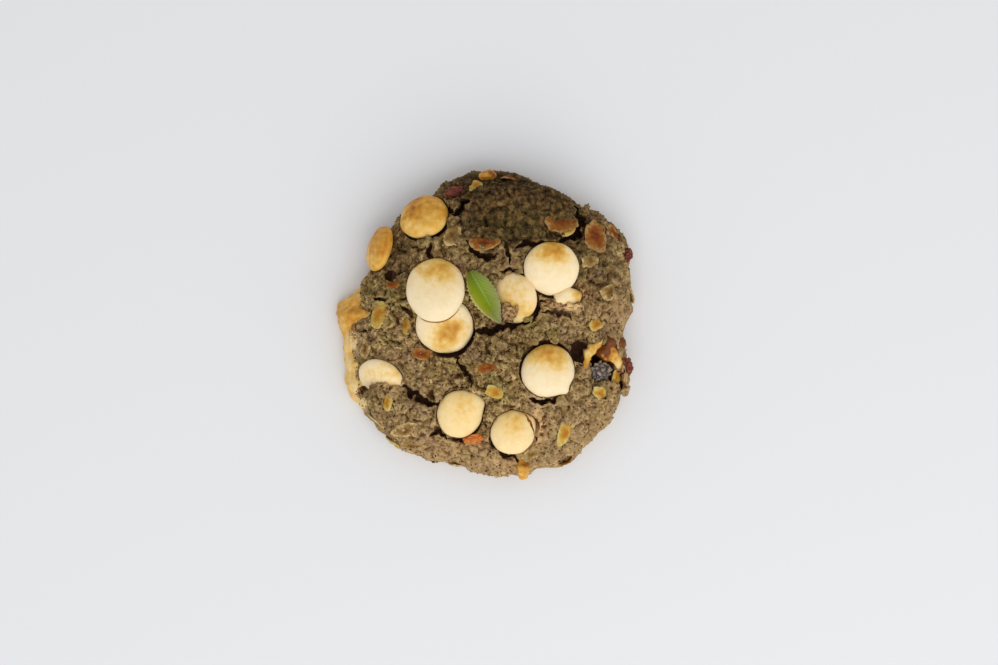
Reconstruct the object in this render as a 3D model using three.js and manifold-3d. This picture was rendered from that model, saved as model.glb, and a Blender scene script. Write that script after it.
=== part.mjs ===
// A thick matcha oat cookie about 80 mm across, with round white chocolate drops baked into its crust.
// Millimetres, +Z up. +X runs to the cookie's right and +Y to its back, and the flat base lies on Z = 0.
// Each drop, chip, berry and melted edge is a solid of its own, and the dough has a socket round each one.
// Oat flakes are fused to the dough, and its deepest cracks and pockets are cut into it.
import * as THREE from "three";
import { mergeVertices } from "three/addons/utils/BufferGeometryUtils.js";
import Module from "manifold-3d";

const wasm = await Module();
wasm.setup();

// ---- driving dimensions ----
const COOKIE_RADIUS = 40; // mean outline at the widest level
const DOUGH_HEIGHT = 17.6; // crust at the middle, without its lumps
const WIDEST_HEIGHT = 5.6; // level where the side bulges most
const FOOT_SHARE = 0.95; // radius of the flat base against the widest radius
const DOME_FULLNESS = 2.7; // how far out the crust stays high before it falls to the side
const CRUST_TILT = 0.04; // rise of the crust towards the back, mm for each mm
const GAP = 0.3; // clearance between two pieces that touch
const SKIN_DETAIL = 12; // icosahedron detail of the dough's skin
const SECTION_STEPS = 240; // steps of the half section that the skin is laid over
const BASE_DENSITY = 0.16; // triangles on the flat base against those on the crust

// Where the outline swells or draws in: [direction in degrees, reach in mm, half width in degrees]
const OUTLINE_LOBES = [
  [34, 3.2, 14],
  [88, 1.3, 9],
  [117, -3.0, 11],
  [146, -5.9, 18],
  [172, -4.9, 14],
  [195, -3.6, 12],
  [259, -1.5, 12],
  [304, 2.0, 24],
  [322, 1.0, 8],
  [338, 1.4, 6],
  [355, -2.8, 10],
];

// Broad lumps and hollows of the crust: [x, y, half length in x, half length in y, height]
const CRUST_LUMPS = [
  [7.0, 23.0, 18.0, 7.0, 1.6],
  [4.0, 35.0, 22.0, 6.0, -1.6],
  [2.0, 8.5, 8.0, 7.0, -1.0],
  [1.0, -9.0, 10.0, 6.0, 1.0],
  [22.0, 1.0, 8.0, 5.0, 0.8],
  [-24.0, -5.0, 7.0, 6.0, 0.9],
  [-17.0, -24.0, 8.0, 5.0, 0.5],
  [21.0, -22.0, 9.0, 6.0, 0.4],
  [26.5, 10.0, 5.0, 4.0, -0.5],
];
const LUMP_SIZE = 7.5; // mm, size of the irregular lumps that the list leaves out
const LUMP_RELIEF = 1.9; // mm, their full height
const CRAG_SIZE = 3.6; // mm, size of the crags on them
const CRAG_RELIEF = 1.3; // mm

// Cracks that run through the crust, as a path of [x, y] points, with width and depth in mm
const CRACKS = [
  { width: 1.5, depth: 4, path: [[-3.8, -1.2], [-1.3, -2.1], [1.6, -1.9], [3.4, -0.3], [11.5, 0.5]] },
  { width: 1.1, depth: 3.4, path: [[11, 10.7], [12.8, 7.3], [12.8, 3.6], [12.1, 0.5]] },
  { width: 1.2, depth: 3.2, path: [[-11.2, -7.6], [-8, -7.9], [-6.7, -10.7], [-3.4, -16.2]] },
  { width: 1.4, depth: 3.4, path: [[-22.9, -15.4], [-18.2, -17.8], [-14, -21.4], [-11.7, -19.6]] },
  { width: 1.2, depth: 3.2, path: [[11.4, -18.8], [14.4, -20.1], [17, -20.1], [19.4, -18.6]] },
  { width: 1.2, depth: 3.4, path: [[-9.6, 31.3], [-8.6, 28.6], [-6.5, 31.1], [-4.4, 32.9]] },
  { width: 1.5, depth: 3.0, path: [[-14.9, 21.4], [-14.6, 17]] },
  { width: 1.7, depth: 4.2, path: [[23.6, 31.6], [24.4, 27.9], [24.1, 24.7], [21.4, 22.7], [18.6, 21]] },
  { width: 0.9, depth: 2.4, path: [[5, 22.1], [5.5, 19], [6.5, 15.5]] },
  { width: 1.5, depth: 3.2, path: [[-4.8, 22.3], [-3.1, 19.3], [0.1, 17.7], [3.4, 18.6]] },
  { width: 1.6, depth: 3.2, path: [[7.6, 20.4], [11.5, 20.8], [15.6, 22]] },
  { width: 1.3, depth: 2.8, path: [[-15, -28.9], [-12.5, -28.2], [-9.9, -29.6]] },
  { width: 1.1, depth: 3.0, path: [[10, -22.4], [11.9, -25.9], [13.3, -30.6]] },
  { width: 1.1, depth: 3.6, path: [[36.4, -9.4], [35.8, -13.1], [34.9, -17.4]] },
];
const CRACK_STEP = 2.4; // mm between two stations along a crack

// Pockets in the crust, cut as ellipsoids: [x, y, depth of the centre, half lengths in x, y and z]
const POCKETS = [
  [31.6, -10.0, 0.6, 4.3, 6.0, 4.2],
  [25.6, -5.4, 0.2, 2.4, 2.0, 2.6],
  [-32.6, -17.5, 0.4, 1.7, 1.6, 3.0],
  [-25.4, 13.1, 0.0, 1.7, 1.4, 2.2],
];

// White chocolate drops set in the crust: [name, place, half lengths, turn in the crust's plane, thickness,
// how far the rim is sunk, how far the drop leans towards +X and +Y in degrees]
const DROPS = [
  ["drop_pair_upper", [-13, 9], [8.3, 7.7], 96, 4.6, -0.5, [0, 7]],
  ["drop_pair_lower", [-10.6, -0.5], [7.5, 7.3], 0, 4.4, 1.3, [2, -9]],
  ["drop_right_upper", [17.1, 14.6], [7.2, 7], 20, 4.6, 0.6, [-4, -3]],
  ["drop_right_lower", [16.3, -12], [7.1, 6.9], 60, 4.6, 0.7, [-2, 0]],
  ["drop_back_left", [-16, 28.2], [6.7, 6.5], 0, 4.8, 1, [0, -4]],
  ["drop_front_left", [-6.7, -23.7], [6.5, 6], 80, 4.4, 1.5, [6, -4]],
  ["drop_front_middle", [7.1, -28.3], [5.9, 5.8], 0, 4.2, 1, [0, 6]],
  ["drop_middle_sunk", [6, 6.8], [6.9, 6.7], 0, 4.2, 2.3, [-15, -9]],
  ["drop_left_sunk", [-28.4, -15.2], [6.6, 6.4], 0, 4, 2.3, [4, -24]],
  ["chip_right_sunk", [21.6, 7], [3.4, 2.9], 30, 3, 1, [0, 0]],
  ["chip_pocket", [33.2, -7], [3.4, 2.7], 70, 3, 2.2, [0, 0]],
].map(([name, at, half, turn, thick, sink, lean]) => ({ name, at, half, turn, thick, sink, lean }));
// One more drop in the side, at a direction and a height
const WALL_DROP = {
  name: "drop_left_wall",
  direction: 143.5,
  height: 7.6,
  half: [6.2, 5.8],
  thick: 4.4,
  sink: 2,
};
const DROP_SEGMENTS = 16;

// Dried berries: [name, finish, place, half lengths, turn, height of the middle over the crust]
const BERRIES = [
  ["dark_berry", "darkBerry", [30.7, -12.4], [3.1, 2.6, 1.9], 20, -2.2],
  ["red_berry_right", "redBerry", [37.4, -11.2], [2.1, 1.6, 1.5], 80, -0.6],
  ["red_berry_back_right", "redBerry", [37.7, 18.8], [1.9, 1.5, 1.5], 60, -0.4],
  ["red_berry_back", "redBerry", [-8.4, 35.4], [2.6, 1.8, 1.4], 10, -0.5],
  ["red_berry_front", "redBerry", [-2, -30.1], [2.4, 1.7, 1.4], 35, -0.3],
].map(([name, finish, at, half, turn, lift]) => ({ name, finish, at, half, turn, lift }));

// Chocolate that melted out at the foot of the left side: its plan as [x, y] points, height and round edge
const MELTED_EDGE = {
  name: "melted_edge",
  outer: [[-32, 11], [-37.4, 7.6], [-40.4, 4.2], [-38.9, -0.4], [-38, -9], [-37.2, -17.4], [-34.4, -21.4]],
  inner: [[-29, -19], [-31, -5], [-29, 9]],
  tall: 3.6,
  round: 2,
};
const MELT_STEPS = 2; // points between two corners of its plan

// Chocolate that ran down the side: direction, height, and half lengths along, down and out of the side
const DRIPS = [
  { name: "drip_front", direction: 284, height: 7.4, half: [1.5, 3.4, 1.3] },
  { name: "drip_back", direction: 90, height: 8.6, half: [1.7, 2.7, 1.3] },
];

// One small leaf on the crust: its middle, its size, the way it points, and the fold of its halves
const LEAF = {
  name: "leaf",
  at: [-0.2, 7.3],
  long: 16.4,
  wide: 6.8,
  turn: -60,
  thick: 0.5,
  fold: 0.9,
  wave: 0.25,
  lift: 0.45,
};
const LEAF_ROWS = 12;
const LEAF_COLUMNS = 4;

// Oat flakes whose place shows on the crust: [x, y, length, width, turn, tilt], mm and degrees
const FLAKES = [
  [28.4, 23.4, 9.4, 6.0, 78, 14],
  [19.6, 28.6, 8.0, 5.6, 30, 16],
  [-0.5, 21.6, 8.0, 4.6, 4, 20],
  [-27.8, 2.6, 7.2, 4.8, 82, 10],
  [-20.8, -0.4, 5.0, 2.6, 86, 12],
  [-16.6, -7.6, 5.4, 3.0, -18, 12],
  [-21.2, -27.6, 7.0, 4.4, 14, 16],
  [-19.4, -31.6, 6.0, 3.4, -12, 10],
  [20.7, -28.4, 7.0, 3.8, 68, 12],
  [30.0, -18.2, 5.6, 3.8, -40, 14],
  [27.0, -8.6, 5.8, 2.4, 52, 18],
  [0.4, -11.2, 6.2, 3.0, 4, 12],
  [28.8, 0.2, 4.2, 3.2, 30, 12],
  [-4.2, -34.8, 4.4, 2.8, 4, 8],
  [-25.7, -20.4, 4.2, 2.4, 84, 12],
  [-8.6, 23.2, 6.2, 4.2, 60, 14],
  [33.8, 24.0, 5.6, 3.4, -38, 12],
  [32.6, 8.8, 6.0, 4.0, 24, 16],
  [27.0, 16.6, 5.0, 3.6, 10, 10],
  [2.4, -17.5, 5.2, 3.2, -20, 10],
  [-31.6, -6.4, 4.6, 3.2, 70, 12],
  [12.0, -34.0, 5.6, 3.4, 24, 10],
];
const WALL_FLAKES = 14; // more flakes round the side, spread by a rule
const FLAKE_THICKNESS = 1.1;
const FLAKE_SEED = 20;

// ---- small maths ----
const radians = THREE.MathUtils.degToRad;
const smooth = THREE.MathUtils.smoothstep;

function seededDraw(seed) {
  let state = seed;
  return () => {
    state = (state + 0x6d2b79f5) | 0;
    let mixed = Math.imul(state ^ (state >>> 15), 1 | state);
    mixed = (mixed + Math.imul(mixed ^ (mixed >>> 7), 61 | mixed)) ^ mixed;
    return ((mixed ^ (mixed >>> 14)) >>> 0) / 4294967296;
  };
}

// Smooth noise from -0.5 to 0.5 that is the same at every run
function noise(x, y, z) {
  const corner = (i, j, k) => {
    const wave = Math.sin(i * 127.1 + j * 311.7 + k * 74.7) * 43758.5453;
    return wave - Math.floor(wave);
  };
  const cell = [Math.floor(x), Math.floor(y), Math.floor(z)];
  const ease = [x - cell[0], y - cell[1], z - cell[2]].map((t) => t * t * (3 - 2 * t));
  let sum = 0;
  for (let i = 0; i < 2; i++) {
    for (let j = 0; j < 2; j++) {
      for (let k = 0; k < 2; k++) {
        const share = [i, j, k].reduce((all, side, axis) => all * (side ? ease[axis] : 1 - ease[axis]), 1);
        sum += share * corner(cell[0] + i, cell[1] + j, cell[2] + k);
      }
    }
  }
  return sum - 0.5;
}

// ---- the dough's form ----
// Share of the relief that lifts the crust: none at the bulge and all of it on the upper crust
const crustShare = (height) => smooth(height, WIDEST_HEIGHT, DOUGH_HEIGHT * 0.8);

function outlineRadius(direction) {
  const degrees = THREE.MathUtils.radToDeg(direction);
  return OUTLINE_LOBES.reduce((radius, [lobe, reach, half]) => {
    const turn = THREE.MathUtils.euclideanModulo(degrees - lobe + 180, 360) - 180;
    return radius + reach * Math.exp(-((turn / half) ** 2));
  }, COOKIE_RADIUS);
}

// Height of the plain dome at a share of the radius
function domeHeight(share) {
  const fall = Math.max(0, 1 - Math.min(1, share) ** DOME_FULLNESS);
  return WIDEST_HEIGHT + (DOUGH_HEIGHT - WIDEST_HEIGHT) * Math.sqrt(fall);
}

// How far the tilt and the broad lumps lift the crust over the plain dome
function broadRelief(x, y) {
  return CRUST_LUMPS.reduce((sum, [lumpX, lumpY, halfX, halfY, height]) => {
    return sum + height * Math.exp(-(((x - lumpX) / halfX) ** 2) - ((y - lumpY) / halfY) ** 2);
  }, CRUST_TILT * y);
}

// How far the irregular lumps and crags stand out of the skin
function brokenRelief(x, y, z) {
  const lumps = LUMP_RELIEF * noise(x / LUMP_SIZE, y / LUMP_SIZE, z / LUMP_SIZE + 5);
  const crags = CRAG_RELIEF * noise(x / CRAG_SIZE, y / CRAG_SIZE, z / CRAG_SIZE + 9);
  return lumps + crags;
}

// A point of the skin: its direction, its share of the outline's radius and its height on the plain form
function skinPoint(direction, share, height) {
  const reach = outlineRadius(direction) * share;
  const x = reach * Math.cos(direction);
  const y = reach * Math.sin(direction);
  const onTop = crustShare(height);
  const broken = brokenRelief(x, y, height) * smooth(height, 0, WIDEST_HEIGHT / 2);
  const swell = 1 + ((1 - onTop) * broken) / COOKIE_RADIUS;
  return new THREE.Vector3(x * swell, y * swell, height + onTop * (broken + broadRelief(x, y)));
}

// Half section from the top over the bulge to the foot and in along the base, with the area passed so far
function halfSection() {
  const section = [];
  for (let i = 0; i <= SECTION_STEPS; i++) {
    const turn = (Math.PI * i) / SECTION_STEPS;
    const rise = Math.abs(Math.cos(turn));
    const overBulge = Math.pow(Math.sin(turn), 2 / DOME_FULLNESS);
    const underBulge = FOOT_SHARE + (1 - FOOT_SHARE) * Math.sqrt(Math.max(0, 1 - rise * rise));
    const upper = turn <= Math.PI / 2;
    const share = upper ? overBulge : underBulge;
    const height = upper ? domeHeight(overBulge) : WIDEST_HEIGHT * (1 - rise);
    section.push({ share, height, density: 1 });
  }
  section.push({ share: 0, height: 0, density: BASE_DENSITY });
  let area = 0;
  section.forEach((point, i) => {
    const last = section[Math.max(0, i - 1)];
    const run = (point.share - last.share) * COOKIE_RADIUS;
    const length = Math.hypot(run, point.height - last.height);
    area += point.density * length * (point.share + last.share);
    point.area = area;
  });
  return section.map((point) => ({ ...point, area: point.area / area }));
}

// The dough's skin: a sphere of even triangles, laid over the half section so that they stay even
function doughSkin() {
  const section = halfSection();
  const sphere = new THREE.IcosahedronGeometry(1, SKIN_DETAIL);
  sphere.deleteAttribute("normal");
  sphere.deleteAttribute("uv");
  const skin = mergeVertices(sphere);
  const position = skin.attributes.position;
  for (let i = 0; i < position.count; i++) {
    const direction = Math.atan2(position.getY(i), position.getX(i));
    const passed = (1 - position.getZ(i)) / 2;
    const next = Math.max(1, section.findIndex((point) => point.area >= passed - 1e-9));
    const [from, to] = [section[next - 1], section[next]];
    const along = THREE.MathUtils.clamp((passed - from.area) / (to.area - from.area), 0, 1);
    const onBase = to.density < 1;
    // area along the flat base grows with the square of the radius
    const share = onBase
      ? from.share * Math.sqrt(1 - along)
      : THREE.MathUtils.lerp(from.share, to.share, along);
    const height = THREE.MathUtils.lerp(from.height, to.height, along);
    position.setXYZ(i, ...skinPoint(direction, share, onBase ? 0 : height).toArray());
  }
  return skin;
}

// ---- seats on the crust ----
function crustHeight(x, y) {
  const share = Math.hypot(x, y) / outlineRadius(Math.atan2(y, x));
  const plain = domeHeight(share);
  return plain + crustShare(plain) * (broadRelief(x, y) + brokenRelief(x, y, plain));
}

// Point on the crust, with the normal of its broad slope
function crustSeat(x, y) {
  const reach = 3;
  const slopeX = (crustHeight(x + reach, y) - crustHeight(x - reach, y)) / (2 * reach);
  const slopeY = (crustHeight(x, y + reach) - crustHeight(x, y - reach)) / (2 * reach);
  return {
    point: new THREE.Vector3(x, y, crustHeight(x, y)),
    normal: new THREE.Vector3(-slopeX, -slopeY, 1).normalize(),
  };
}

// Point on the side at a height, with its normal
function wallSeat(degrees, height) {
  const direction = radians(degrees);
  const rise = Math.max(0, height - WIDEST_HEIGHT) / (DOUGH_HEIGHT - WIDEST_HEIGHT);
  const share = Math.pow(1 - rise * rise, 1 / DOME_FULLNESS);
  const lean = Math.asin(Math.min(1, rise)) * 0.9;
  return {
    point: skinPoint(direction, share, height),
    normal: new THREE.Vector3(
      Math.cos(direction) * Math.cos(lean),
      Math.sin(direction) * Math.cos(lean),
      Math.sin(lean),
    ),
  };
}

// Matrix that takes a piece modelled flat at the origin to its seat
function placing(seat, turn, lift = 0, [leanX, leanY] = [0, 0]) {
  const normal = seat.normal.clone();
  normal.applyAxisAngle(new THREE.Vector3(0, 1, 0), radians(leanX));
  normal.applyAxisAngle(new THREE.Vector3(1, 0, 0), -radians(leanY));
  const stand = new THREE.Quaternion().setFromUnitVectors(new THREE.Vector3(0, 0, 1), normal);
  const spin = new THREE.Quaternion().setFromAxisAngle(new THREE.Vector3(0, 0, 1), radians(turn));
  const place = seat.point.clone().addScaledVector(normal, lift);
  return new THREE.Matrix4().compose(place, stand.multiply(spin), new THREE.Vector3(1, 1, 1));
}

// ---- solids ----
function solidOf(geometry) {
  geometry.deleteAttribute("normal");
  geometry.deleteAttribute("uv");
  const merged = mergeVertices(geometry, 1e-4);
  return new wasm.Manifold(
    new wasm.Mesh({
      numProp: 3,
      vertProperties: merged.attributes.position.array,
      triVerts: new Uint32Array(merged.index.array),
    }),
  );
}

function geometryOf(solid) {
  const mesh = solid.getMesh();
  const geometry = new THREE.BufferGeometry();
  geometry.setAttribute("position", new THREE.BufferAttribute(mesh.vertProperties, 3));
  geometry.setIndex(new THREE.BufferAttribute(mesh.triVerts, 1));
  geometry.computeVertexNormals();
  return geometry;
}

// A drop: flat underneath, rounded at the rim and domed on top. Its rim lies on Z = 0.
function dropGeometry({ half, thick }, extra = 0) {
  const under = thick * 0.36 + extra;
  const over = thick * 0.64 + extra;
  const profile = [
    [0, -under],
    [0.8, -under],
    [1, 0.08 * over],
    [0.86, 0.56 * over],
    [0.5, 0.9 * over],
    [0, over],
  ];
  const corners = profile.map(([reach, rise]) => new THREE.Vector2(reach, rise));
  const drop = new THREE.LatheGeometry(corners, DROP_SEGMENTS);
  drop.rotateX(Math.PI / 2);
  return drop.scale(half[0] + extra, half[1] + extra, 1);
}

function dropSolid(spec, extra = 0) {
  const place = placing(crustSeat(...spec.at), spec.turn, -spec.sink, spec.lean);
  return solidOf(dropGeometry(spec, extra).applyMatrix4(place));
}

function wallDropSolid(spec, extra = 0) {
  const place = placing(wallSeat(spec.direction, spec.height), 0, -spec.sink);
  return solidOf(dropGeometry(spec, extra).applyMatrix4(place));
}

function berrySolid({ at, half, turn, lift }, extra = 0) {
  const berry = new THREE.IcosahedronGeometry(1, 1);
  berry.scale(...half.map((length) => length + extra));
  return solidOf(berry.applyMatrix4(placing(crustSeat(...at), turn, lift)));
}

function dripSolid({ direction, height, half }, extra = 0) {
  const drip = new THREE.SphereGeometry(1, 10, 6);
  drip.scale(...half.map((length) => length + extra));
  return solidOf(drip.applyMatrix4(placing(wallSeat(direction, height), direction + 90)));
}

// The melted edge: a low bank with a round edge and a flat base on Z = 0
function meltedEdgeSolid({ outer, inner, tall, round }, extra = 0) {
  const corner = ([x, y]) => new THREE.Vector2(x, y);
  const plan = new THREE.Shape();
  plan.moveTo(...outer[0]);
  plan.splineThru(outer.slice(1).map(corner));
  inner.forEach(([x, y]) => plan.lineTo(x, y));
  const bank = new THREE.ExtrudeGeometry(plan, {
    depth: 2 * (tall - round),
    curveSegments: MELT_STEPS,
    bevelSize: round + extra,
    bevelThickness: round + extra,
    bevelOffset: -round,
    bevelSegments: 3,
  });
  const below = new THREE.BoxGeometry(60, 60, 20).translate(-30, 0, -10);
  return solidOf(bank.translate(0, 0, round - tall)).subtract(solidOf(below));
}

// Leaf: a thin wavy sheet folded a little along its midrib, both faces split into the same triangles
function leafSolid({ at, long, wide, turn, thick, fold, wave, lift }, extra = 0) {
  const pointing = radians(turn);
  const place = (along, side, face) => {
    const half = side * (wide / 2 + extra) * Math.pow(Math.sin(Math.PI * Math.pow(along, 0.85)), 0.8);
    const forward = (along - 0.5) * (long + 2 * extra);
    const x = at[0] + forward * Math.cos(pointing) - half * Math.sin(pointing);
    const y = at[1] + forward * Math.sin(pointing) + half * Math.cos(pointing);
    const folded = fold * Math.abs(side) * Math.sin(Math.PI * along);
    const waved = wave * Math.sin(along * 9 + side * 2);
    return [x, y, leafBed(x, y) + lift + folded + waved + face * (thick / 2 + extra)];
  };
  const points = [];
  for (const face of [1, -1]) {
    for (let row = 0; row <= LEAF_ROWS; row++) {
      const along = THREE.MathUtils.lerp(0.03, 0.985, row / LEAF_ROWS);
      for (let column = 0; column <= LEAF_COLUMNS; column++) {
        points.push(...place(along, (2 * column) / LEAF_COLUMNS - 1, face));
      }
    }
  }
  const index = [];
  const last = LEAF_COLUMNS;
  const top = (row, column) => row * (last + 1) + column;
  const under = (row, column) => top(row, column) + points.length / 6;
  const quad = (a, b, c, d) => index.push(a, b, c, a, c, d);
  for (let row = 0; row < LEAF_ROWS; row++) {
    for (let column = 0; column < last; column++) {
      quad(top(row, column), top(row + 1, column), top(row + 1, column + 1), top(row, column + 1));
      quad(under(row, column), under(row, column + 1), under(row + 1, column + 1), under(row + 1, column));
    }
    quad(top(row, 0), under(row, 0), under(row + 1, 0), top(row + 1, 0));
    quad(top(row + 1, last), under(row + 1, last), under(row, last), top(row, last));
  }
  for (let column = 0; column < last; column++) {
    quad(top(0, column + 1), under(0, column + 1), under(0, column), top(0, column));
    const [here, next] = [column, column + 1];
    quad(top(LEAF_ROWS, here), under(LEAF_ROWS, here), under(LEAF_ROWS, next), top(LEAF_ROWS, next));
  }
  const sheet = new THREE.BufferGeometry();
  sheet.setAttribute("position", new THREE.BufferAttribute(new Float32Array(points), 3));
  sheet.setIndex(index);
  return solidOf(sheet);
}

// The crust under the leaf, without its crags
function leafBed(x, y) {
  const reach = 2;
  const around = [[0, 0], [reach, 0], [-reach, 0], [0, reach], [0, -reach]];
  return around.reduce((sum, [stepX, stepY]) => sum + crustHeight(x + stepX, y + stepY), 0) / around.length;
}

function flakeSolid(seat, long, wide, turn, tilt) {
  const flake = new THREE.SphereGeometry(1, 8, 3);
  flake.rotateX(Math.PI / 2);
  flake.scale(long / 2, wide / 2, FLAKE_THICKNESS / 2);
  flake.rotateY(radians(tilt));
  return solidOf(flake.applyMatrix4(placing(seat, turn, 0.12)));
}

function allFlakes() {
  const draw = seededDraw(FLAKE_SEED);
  const shown = FLAKES.map(([x, y, ...form]) => flakeSolid(crustSeat(x, y), ...form));
  const spread = [];
  for (let i = 0; i < WALL_FLAKES; i++) {
    const direction = (360 * (i + 0.7 * draw())) / WALL_FLAKES;
    const seat = wallSeat(direction, 3 + 8 * draw());
    const long = 4.6 + 2.8 * draw();
    spread.push(flakeSolid(seat, long, long * 0.62, 360 * draw(), 16 * (draw() - 0.5)));
  }
  return [...shown, ...spread];
}

// A crack: its plan runs along the path, widest in the middle and pointed at both ends, cut straight down
function crackCutter({ width, depth, path }) {
  const curve = new THREE.CatmullRomCurve3(path.map(([x, y]) => new THREE.Vector3(x, y, 0)));
  const stations = Math.round(curve.getLength() / CRACK_STEP);
  const sides = [[], []];
  for (let i = 0; i <= stations; i++) {
    const along = i / stations;
    const point = curve.getPoint(along);
    const tangent = curve.getTangent(along);
    const taper = Math.pow(Math.sin(Math.PI * along), 0.6);
    const half = 0.05 + (width / 2) * taper * (1 + 0.5 * Math.sin(i * 2.4));
    sides[0].push(new THREE.Vector2(point.x - tangent.y * half, point.y + tangent.x * half));
    sides[1].push(new THREE.Vector2(point.x + tangent.y * half, point.y - tangent.x * half));
  }
  const plan = new THREE.Shape([...sides[0], ...sides[1].reverse()]);
  const heights = path.map(([x, y]) => crustHeight(x, y));
  const floor = Math.min(...heights) - depth;
  const slot = new THREE.ExtrudeGeometry(plan, { depth: DOUGH_HEIGHT * 2, bevelEnabled: false });
  return solidOf(slot.translate(0, 0, floor));
}

function pocketCutter([x, y, under, halfX, halfY, halfZ]) {
  const hollow = new THREE.IcosahedronGeometry(1, 2);
  hollow.scale(halfX, halfY, halfZ);
  return solidOf(hollow.translate(x, y, crustHeight(x, y) - under));
}

// ---- assembly ----
const joined = (solids) => solids.reduce((all, solid) => all.add(solid));

// Every piece set in the dough, the uppermost first: each one keeps clear of those before it
const [upperDrop, ...otherDrops] = DROPS.map((spec) => ({ spec, make: dropSolid, finish: "drop" }));
const pieces = [
  upperDrop,
  { spec: LEAF, make: leafSolid, finish: "leaf" },
  ...otherDrops,
  { spec: WALL_DROP, make: wallDropSolid, finish: "drop" },
  ...BERRIES.map((spec) => ({ spec, make: berrySolid, finish: spec.finish })),
  ...DRIPS.map((spec) => ({ spec, make: dripSolid, finish: "melt" })),
  { spec: MELTED_EDGE, make: meltedEdgeSolid, finish: "melt" },
];

const sockets = [];
for (const piece of pieces) {
  const whole = piece.make(piece.spec);
  piece.solid = sockets.length ? whole.subtract(joined(sockets)) : whole;
  sockets.push(piece.make(piece.spec, GAP));
}

const dough = joined([solidOf(doughSkin()), ...allFlakes()])
  .subtract(joined([...CRACKS.map(crackCutter), ...POCKETS.map(pocketCutter)]))
  .subtract(joined(sockets));

const FINISHES = {
  dough: { color: 0x7d6844, roughness: 0.9 },
  drop: { color: 0xf4dcae, roughness: 0.45 },
  melt: { color: 0xcf9a52, roughness: 0.45 },
  leaf: { color: 0x6f9430, roughness: 0.5 },
  darkBerry: { color: 0x4b3f3a, roughness: 0.5 },
  redBerry: { color: 0x7a2f22, roughness: 0.4 },
};

function node(name, solid, finish) {
  const material = new THREE.MeshStandardMaterial({ ...FINISHES[finish], metalness: 0 });
  const mesh = new THREE.Mesh(geometryOf(solid), material);
  mesh.name = name;
  return mesh;
}

const cookie = new THREE.Group();
cookie.add(node("dough", dough, "dough"));
pieces.forEach(({ spec, solid, finish }) => cookie.add(node(spec.name, solid, finish)));

// The middle of the footprint stands on the origin
const middle = new THREE.Box3().setFromObject(cookie).getCenter(new THREE.Vector3());
cookie.position.set(-middle.x, -middle.y, 0);

export default cookie;
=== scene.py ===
"""A thick matcha oat cookie with white chocolate drops, dried berries and a small leaf.

Lengths are named in millimetres, as on the solid model, and a mesh is turned into metres when it is made.
"""

import itertools
import math

import bmesh
import bpy
import numpy as np
from mathutils import Matrix, Quaternion, Vector
from mathutils.bvhtree import BVHTree


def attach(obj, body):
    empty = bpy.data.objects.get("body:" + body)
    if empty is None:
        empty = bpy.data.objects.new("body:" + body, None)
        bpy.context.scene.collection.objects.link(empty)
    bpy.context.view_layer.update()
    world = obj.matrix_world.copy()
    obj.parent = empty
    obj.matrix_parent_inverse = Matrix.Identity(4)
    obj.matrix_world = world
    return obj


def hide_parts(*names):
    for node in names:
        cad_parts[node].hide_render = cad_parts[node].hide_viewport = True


MM = 0.001

# ---- the dough's form, as on the solid model ----
FOOTPRINT_SHIFT = Vector((0.406, -0.209, 0.0))  # puts the middle of the footprint on the origin
COOKIE_RADIUS = 40.0
DOUGH_HEIGHT = 17.6
WIDEST_HEIGHT = 5.6
FOOT_SHARE = 0.95
DOME_FULLNESS = 2.7
CRUST_TILT = 0.04
SECTION_STEPS = 240
BASE_DENSITY = 0.06  # faces on the flat base against those on the crust

# Where the outline swells or draws in: direction in degrees, reach, half width in degrees
OUTLINE_LOBES = (
    (34, 3.2, 14),
    (88, 1.3, 9),
    (117, -3.0, 11),
    (146, -5.9, 18),
    (172, -4.9, 14),
    (195, -3.6, 12),
    (259, -1.5, 12),
    (304, 2.0, 24),
    (322, 1.0, 8),
    (338, 1.4, 6),
    (355, -2.8, 10),
)

# Broad lumps and hollows of the crust: x, y, half length in x, half length in y, height
CRUST_LUMPS = (
    (7.0, 23.0, 18.0, 7.0, 1.6),
    (4.0, 35.0, 22.0, 6.0, -1.6),
    (2.0, 8.5, 8.0, 7.0, -1.0),
    (1.0, -9.0, 10.0, 6.0, 1.0),
    (22.0, 1.0, 8.0, 5.0, 0.8),
    (-24.0, -5.0, 7.0, 6.0, 0.9),
    (-17.0, -24.0, 8.0, 5.0, 0.5),
    (21.0, -22.0, 9.0, 6.0, 0.4),
    (26.5, 10.0, 5.0, 4.0, -0.5),
)
LUMP_SIZE = 7.5
LUMP_RELIEF = 1.9
CRAG_SIZE = 3.6
CRAG_RELIEF = 1.3

# Relief that is too fine for the solid model: size and height of each kind
FINE_RELIEF = ((2.2, 0.8), (1.2, 0.5), (0.75, 0.35))
# Clumps of oats, parted by crevices: size, step between clumps, depth of the crevices
CLUMPS = ((5.2, 1.1, 0.75), (2.3, 0.7, 0.4), (1.15, 0.35, 0.2))
SIDE_RELIEF = 0.36  # relief of the sides against that of the crust
SKIN_VOXEL = 0.34
DOUGH_TRIANGLES = 172000

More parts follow.
